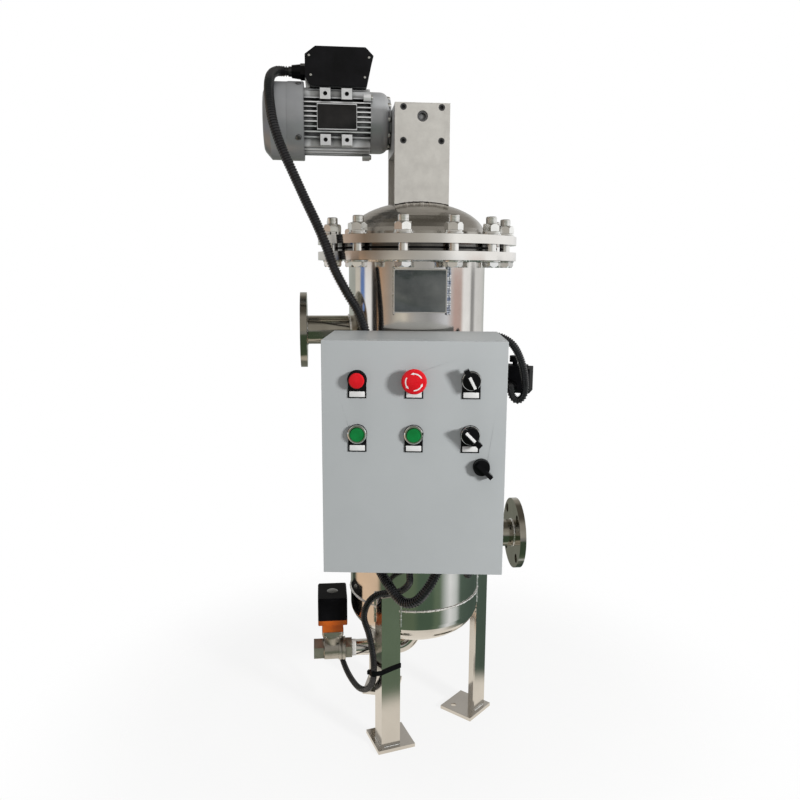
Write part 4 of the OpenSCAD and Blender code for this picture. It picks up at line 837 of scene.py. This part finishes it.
def gear_details():
    """Fronts, levers and terminal screws of the devices behind the door."""
    low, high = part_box("control_gear")
    mid = (low.z + high.z) / 2 / MM
    inset, gap, corner = 20, 2, 1.5
    side_margin, end_margin, screw_margin = 5, 36, 9
    front_t, front_edge, lever_edge = 1.6, 0.6, 1.0
    # Kind, height from the middle, count, device width and height, lever's size, places of the screws across
    rows = (("breaker", 60, 5, 36, 80, (9, 15, 7), (-9, 9)),
            ("contactor", -50, 3, 50, 84, (14, 14, 3), (-16, 0, 16)),
            ("terminal", -130, 8, 22, 44, None, (0,)))
    first_x = low.x / MM + inset
    fronts, levers, screws = {}, [], []
    for kind, rise, count, wide, tall, lever, screw_x in rows:
        for k in range(count):
            x = first_x + k * (wide + gap) + wide / 2
            place = frame_matrix(Vector((x * MM, low.y, (mid + rise) * MM)), RIGHT, UP, FRONT)
            if lever:
                lever_w, lever_h, lever_t = lever
                front = slab(round_rect(wide - side_margin, tall - end_margin, corner), front_t, front_edge)
                grip = slab(round_rect(lever_w, lever_h, corner), lever_t + front_t, lever_edge)
                fronts.setdefault(kind, []).append(placed(front, place))
                levers.append(placed(grip, place))
            for dx in screw_x:
                for end in (-1, 1):
                    spot = Matrix.Translation(Vector((dx, end * (tall / 2 - screw_margin), 0)) * MM)
                    screws.append(placed(round_head(3.6, 2.0), place @ spot))
    piece("breaker_fronts", *joined(fronts["breaker"]), "label_white")
    piece("contactor_fronts", *joined(fronts["contactor"]), "dark_plate")
    piece("gear_levers", *joined(levers), "black_plastic", slot="black_plastic")
    piece("gear_screws", *joined(screws), "zinc_steel", slot="zinc_steel")


legend_labels()
bezel_rings()
stop_marks()
selector_bars()
gear_details()


# Drain valve and cable tie

def thread_tape():
    """Sealing tape wound on the pipe thread beside the valve."""
    pipe_r, tape_r, turns, first, step, width, from_valve = 16.9, 17.5, 7, 0.4, 1.3, 9, 41
    draw = random.Random(7)
    profile = [(pipe_r, 0)]
    for k in range(turns):
        profile.append((tape_r + draw.uniform(-0.25, 0.35), first + step * k))
    profile.append((pipe_r, width))
    origin = turned(VALVE_X + from_valve, 0, DRAIN_Z)
    axis = turned(1, 0, 0) / MM
    place = frame_matrix(origin, UP.cross(axis) * -1, UP, axis)
    piece("thread_tape", *placed(lathe(profile, 40), place), "tape_white")


def actuator_window():
    """Domed indicator window in the recess on the actuator."""
    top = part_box("actuator_cover")[1].z
    profile = [(0.01, -2), (11.9, -2), (11.9, -0.3), (11.0, 0.6), (8, 1.5), (4, 2.1), (0.01, 2.3)]
    origin = turned(VALVE_X, 7, 0)
    origin.z = top
    place = frame_matrix(origin, turned(1, 0, 0) / MM, turned(0, 1, 0) / MM, UP)
    piece("actuator_window", *placed(lathe(profile, 48), place), "window_grey")


def cable_tie():
    """Strap and lock block that hold the valve conduit to the front leg."""
    angle = LEG_ANGLES[2]
    loop = ((133.8, 29.4, 183), (148.3, 15, 179), (162.7, 0.4, 174), (169.6, -12.5, 172), (170.4, -17, 171.5),
            (168, -23, 171), (162.9, -24.8, 171.3), (156, -21.5, 172), (133.2, -29.4, 176), (130.5, 0, 180))
    strap = [leg_point(angle, *p) for p in loop]
    half_h, half_t = 5.0 * MM, 0.7 * MM
    count = len(strap)
    rings = []
    for i, p in enumerate(strap):
        out = (strap[(i + 1) % count] - strap[i - 1]).normalized().cross(UP).normalized()
        corners = ((1, 1), (1, -1), (-1, -1), (-1, 1))
        rings.append([p + out * half_t * a + UP * half_h * b for a, b in corners])
    radial = leg_point(angle, 1, 0, 0) / MM
    side = leg_point(angle, 0, -1, 0) / MM
    block = placed(slab(round_rect(7, 8.5, 1), 6, 0.8),
                   frame_matrix(leg_point(angle, 165, -24, 171), radial, UP, side))
    piece("cable_tie", *joined([loft(rings, True), block]), "black_plastic", slot="black_plastic")


thread_tape()
actuator_window()
cable_tie()


# Floor, light and surroundings

def floor():
    """Pale round floor that fades out to its rim and keeps the shadow; for glossy rays only, a patch by the
    legs glows in a pale ground colour as a painted reflection.
    """
    radius, rim, edge, drop, sides = 0.95, 0.45, 0.02, 0.0004, 96
    white_share, patch_r, patch_fade = 0.84, 0.25, 0.08
    angles = [2 * math.pi * k / sides for k in range(sides)]
    verts = [(radius * math.cos(t), radius * math.sin(t), -drop) for t in angles]
    mesh = bpy.data.meshes.new("pale_floor")
    mesh.from_pydata(verts, [], [list(range(sides))])
    material = bpy.data.materials.new("pale_floor_finish")
    material.use_nodes = True
    tree = material.node_tree
    shader = tree.nodes["Principled BSDF"]
    shader.inputs["Roughness"].default_value = 0.9
    tree.links.new(blend_colours(tree, grain(tree, 6), (0.84, 0.84, 0.83), (0.87, 0.87, 0.86)),
                   shader.inputs["Base Color"])
    rays = put(tree, "ShaderNodeLightPath")
    share = put(tree, "ShaderNodeMath", {1: white_share}, operation="MULTIPLY")
    white = put(tree, "ShaderNodeEmission", {"Color": (1, 1, 1, 1), "Strength": 1.0})
    pale = put(tree, "ShaderNodeMixShader")
    tree.links.new(rays.outputs["Is Camera Ray"], share.inputs[0])
    tree.links.new(share.outputs["Value"], pale.inputs["Fac"])
    tree.links.new(shader.outputs["BSDF"], pale.inputs[1])
    tree.links.new(white.outputs["Emission"], pale.inputs[2])
    coords = put(tree, "ShaderNodeTexCoord")
    length = put(tree, "ShaderNodeVectorMath", operation="LENGTH")
    fade = put(tree, "ShaderNodeMapRange", {"From Min": rim, "From Max": radius - edge},
               interpolation_type="SMOOTHSTEP")
    clear = put(tree, "ShaderNodeBsdfTransparent")
    mix = put(tree, "ShaderNodeMixShader")
    tree.links.new(coords.outputs["Object"], length.inputs[0])
    tree.links.new(length.outputs["Value"], fade.inputs["Value"])
    tree.links.new(fade.outputs["Result"], mix.inputs["Fac"])
    tree.links.new(pale.outputs["Shader"], mix.inputs[1])
    tree.links.new(clear.outputs["BSDF"], mix.inputs[2])
    # Painted reflection: for glossy rays only, the floor near the legs glows in the near-ground colour, which
    # the metal mirrors
    patch = put(tree, "ShaderNodeEmission", {"Color": (*NEAR_GROUND, 1), "Strength": 1.0})
    reach = put(tree, "ShaderNodeMapRange", {"From Min": patch_r, "From Max": patch_r + patch_fade},
                interpolation_type="SMOOTHSTEP")
    mirrored = put(tree, "ShaderNodeMixShader")
    tree.links.new(length.outputs["Value"], reach.inputs["Value"])
    tree.links.new(reach.outputs["Result"], mirrored.inputs["Fac"])
    tree.links.new(patch.outputs["Emission"], mirrored.inputs[1])
    tree.links.new(clear.outputs["BSDF"], mirrored.inputs[2])
    choice = put(tree, "ShaderNodeMixShader")
    tree.links.new(rays.outputs["Is Glossy Ray"], choice.inputs["Fac"])
    tree.links.new(mix.outputs["Shader"], choice.inputs[1])
    tree.links.new(mirrored.outputs["Shader"], choice.inputs[2])
    tree.links.new(choice.outputs["Shader"], tree.nodes["Material Output"].inputs["Surface"])
    mesh.materials.append(material)
    obj = bpy.data.objects.new("pale_floor", mesh)
    scene.collection.objects.link(obj)


# Surroundings that the metal mirrors: azimuth in degrees from the door, and a colour
WALLS = (
    (-180, (0.42, 0.44, 0.40)), (-126, (0.42, 0.44, 0.40)), (-122, (0.70, 0.66, 0.58)),
    (-109, (0.66, 0.62, 0.54)), (-106, (0.12, 0.22, 0.50)), (-98, (0.14, 0.25, 0.55)),
    (-94, (1.0, 1.0, 1.0)), (-81, (1.0, 1.0, 1.0)), (-78, (0.02, 0.02, 0.02)),
    (-68, (0.02, 0.02, 0.02)), (-66, (0.62, 0.36, 0.20)), (-56, (0.50, 0.36, 0.26)),
    (-42, (0.38, 0.34, 0.30)), (-30, (0.62, 0.58, 0.50)), (-20, (0.72, 0.67, 0.58)),
    (-11, (0.50, 0.47, 0.43)), (0, (0.42, 0.42, 0.41)), (20, (0.36, 0.36, 0.36)),
    (35, (0.50, 0.50, 0.52)), (52, (0.72, 0.74, 0.78)), (62, (0.60, 0.52, 0.50)),
    (67, (0.58, 0.42, 0.38)), (80, (0.55, 0.42, 0.38)), (86, (1.0, 1.0, 1.0)),
    (102, (0.95, 0.95, 0.95)), (105, (0.30, 0.30, 0.30)), (112, (0.36, 0.36, 0.36)),
    (117, (0.80, 0.80, 0.80)), (140, (0.74, 0.74, 0.73)), (160, (0.52, 0.53, 0.51)),
    (180, (0.42, 0.44, 0.40)))
UPPER_WALLS = (
    (-180, (0.50, 0.50, 0.48)), (-102, (0.62, 0.61, 0.58)), (-100, (0.10, 0.095, 0.09)),
    (-98, (0.10, 0.095, 0.09)), (-95, (0.50, 0.40, 0.32)), (-78, (0.42, 0.32, 0.25)),
    (-60, (0.20, 0.15, 0.11)), (-45, (0.24, 0.20, 0.16)), (-25, (0.40, 0.37, 0.33)),
    (5, (0.46, 0.44, 0.40)), (26, (0.60, 0.59, 0.56)), (44, (1.0, 1.0, 0.98)),
    (140, (1.0, 1.0, 1.0)), (168, (0.75, 0.75, 0.74)), (180, (0.50, 0.50, 0.48)))
GROUND = (
    (-180, (0.25, 0.26, 0.22)), (-150, (0.25, 0.26, 0.22)), (-143, (0.05, 0.07, 0.05)),
    (-132, (0.05, 0.07, 0.05)), (-122, (0.80, 0.58, 0.40)), (-68, (0.80, 0.60, 0.43)),
    (-60, (0.10, 0.14, 0.09)), (0, (0.12, 0.165, 0.10)), (10, (0.080, 0.125, 0.082)),
    (33, (0.080, 0.125, 0.082)), (40, (0.13, 0.18, 0.115)), (48, (0.13, 0.18, 0.12)),
    (58, (0.50, 0.54, 0.52)), (68, (0.85, 0.87, 0.88)), (82, (0.62, 0.66, 0.65)),
    (92, (0.09, 0.13, 0.10)), (130, (0.07, 0.10, 0.08)), (165, (0.07, 0.10, 0.08)),
    (180, (0.25, 0.26, 0.22)))
NEAR_GROUND = (0.84, 0.78, 0.69)
LOW_CEILING = (0.46, 0.44, 0.41)
HIGH_CEILING = (0.15, 0.14, 0.12)
# Where each layer starts and where it is full, as the height of a unit direction
GROUND_FROM, UPPER_FROM = (-0.12, -0.22), (0.0, 0.014)
LOW_CEILING_FROM, HIGH_CEILING_FROM = (0.22, 0.50), (0.66, 0.90)
FILL = 0.38
# Lamps: place, target, size in metres, watts
KEY_LAMP = ((1.95, -1.95, 1.25), (0, -0.2, 0.7), 0.40, 66)
TOP_LAMP = ((-0.3, -0.5, 2.9), (0, 0, 0.7), 1.4, 16)


def bands(tree, share, stops):
    """Colour ramp round the horizon."""
    ramp = put(tree, "ShaderNodeValToRGB")
    elements = ramp.color_ramp.elements
    for degrees, colour in stops[1:-1]:
        elements.new(degrees / 360 + 0.5).color = (*colour, 1)
    elements[0].color = (*stops[0][1], 1)
    elements[len(elements) - 1].color = (*stops[-1][1], 1)
    tree.links.new(share, ramp.inputs["Fac"])
    return ramp.outputs["Color"]


def room():
    """World: white for the camera, an even fill for diffuse light, and a mirrored room for gloss."""
    world = bpy.data.worlds.new("room")
    world.use_nodes = True
    scene.world = world
    tree = world.node_tree
    tree.nodes.clear()
    coords = put(tree, "ShaderNodeTexCoord")
    split = put(tree, "ShaderNodeSeparateXYZ")
    tree.links.new(coords.outputs["Generated"], split.inputs["Vector"])
    flip = put(tree, "ShaderNodeMath", {1: -1.0}, operation="MULTIPLY")
    tree.links.new(split.outputs["Y"], flip.inputs[0])
    azimuth = put(tree, "ShaderNodeMath", operation="ARCTAN2")
    tree.links.new(split.outputs["X"], azimuth.inputs[0])
    tree.links.new(flip.outputs["Value"], azimuth.inputs[1])
    share = put(tree, "ShaderNodeMapRange", {"From Min": -math.pi, "From Max": math.pi})
    tree.links.new(azimuth.outputs["Value"], share.inputs["Value"])
    even_shades = []
    for colour in (LOW_CEILING, HIGH_CEILING):
        node = put(tree, "ShaderNodeRGB")
        node.outputs[0].default_value = (*colour, 1)
        even_shades.append(node.outputs[0])
    low_ceiling, high_ceiling = even_shades
    around = share.outputs["Result"]
    shade = bands(tree, around, WALLS)
    layers = ((GROUND_FROM, bands(tree, around, GROUND)), (UPPER_FROM, bands(tree, around, UPPER_WALLS)),
              (LOW_CEILING_FROM, low_ceiling), (HIGH_CEILING_FROM, high_ceiling))
    for (low, high), colour in layers:
        level = put(tree, "ShaderNodeMapRange", {"From Min": low, "From Max": high},
                    interpolation_type="SMOOTHSTEP")
        tree.links.new(split.outputs["Z"], level.inputs["Value"])
        mixer = put(tree, "ShaderNodeMix", data_type="RGBA")
        tree.links.new(level.outputs["Result"], mixer.inputs[MIX_FACTOR])
        tree.links.new(shade, mixer.inputs[MIX_A])
        tree.links.new(colour, mixer.inputs[MIX_B])
        shade = mixer.outputs[MIX_RESULT]
    mirrored = put(tree, "ShaderNodeBackground")
    tree.links.new(shade, mirrored.inputs["Color"])
    even = put(tree, "ShaderNodeBackground", {"Color": (FILL, FILL, FILL, 1)})
    white = put(tree, "ShaderNodeBackground", {"Color": (1, 1, 1, 1)})
    rays = put(tree, "ShaderNodeLightPath")
    inner = put(tree, "ShaderNodeMixShader")
    tree.links.new(rays.outputs["Is Glossy Ray"], inner.inputs["Fac"])
    tree.links.new(even.outputs["Background"], inner.inputs[1])
    tree.links.new(mirrored.outputs["Background"], inner.inputs[2])
    seen = put(tree, "ShaderNodeMath", operation="MAXIMUM")
    tree.links.new(rays.outputs["Is Camera Ray"], seen.inputs[0])
    tree.links.new(rays.outputs["Is Transmission Ray"], seen.inputs[1])
    outer = put(tree, "ShaderNodeMixShader")
    tree.links.new(seen.outputs["Value"], outer.inputs["Fac"])
    tree.links.new(inner.outputs["Shader"], outer.inputs[1])
    tree.links.new(white.outputs["Background"], outer.inputs[2])
    output = put(tree, "ShaderNodeOutputWorld")
    tree.links.new(outer.outputs["Shader"], output.inputs["Surface"])


def lamp(name, place, target, size, watts):
    """Square area lamp aimed at a point."""
    light = bpy.data.lights.new(name, "AREA")
    light.size = size
    light.energy = watts
    obj = bpy.data.objects.new(name, light)
    obj.location = place
    obj.rotation_euler = (Vector(target) - Vector(place)).to_track_quat("-Z", "Y").to_euler()
    obj.visible_glossy = False
    scene.collection.objects.link(obj)


floor()
room()
lamp("key_lamp", *KEY_LAMP)
lamp("top_lamp", *TOP_LAMP)
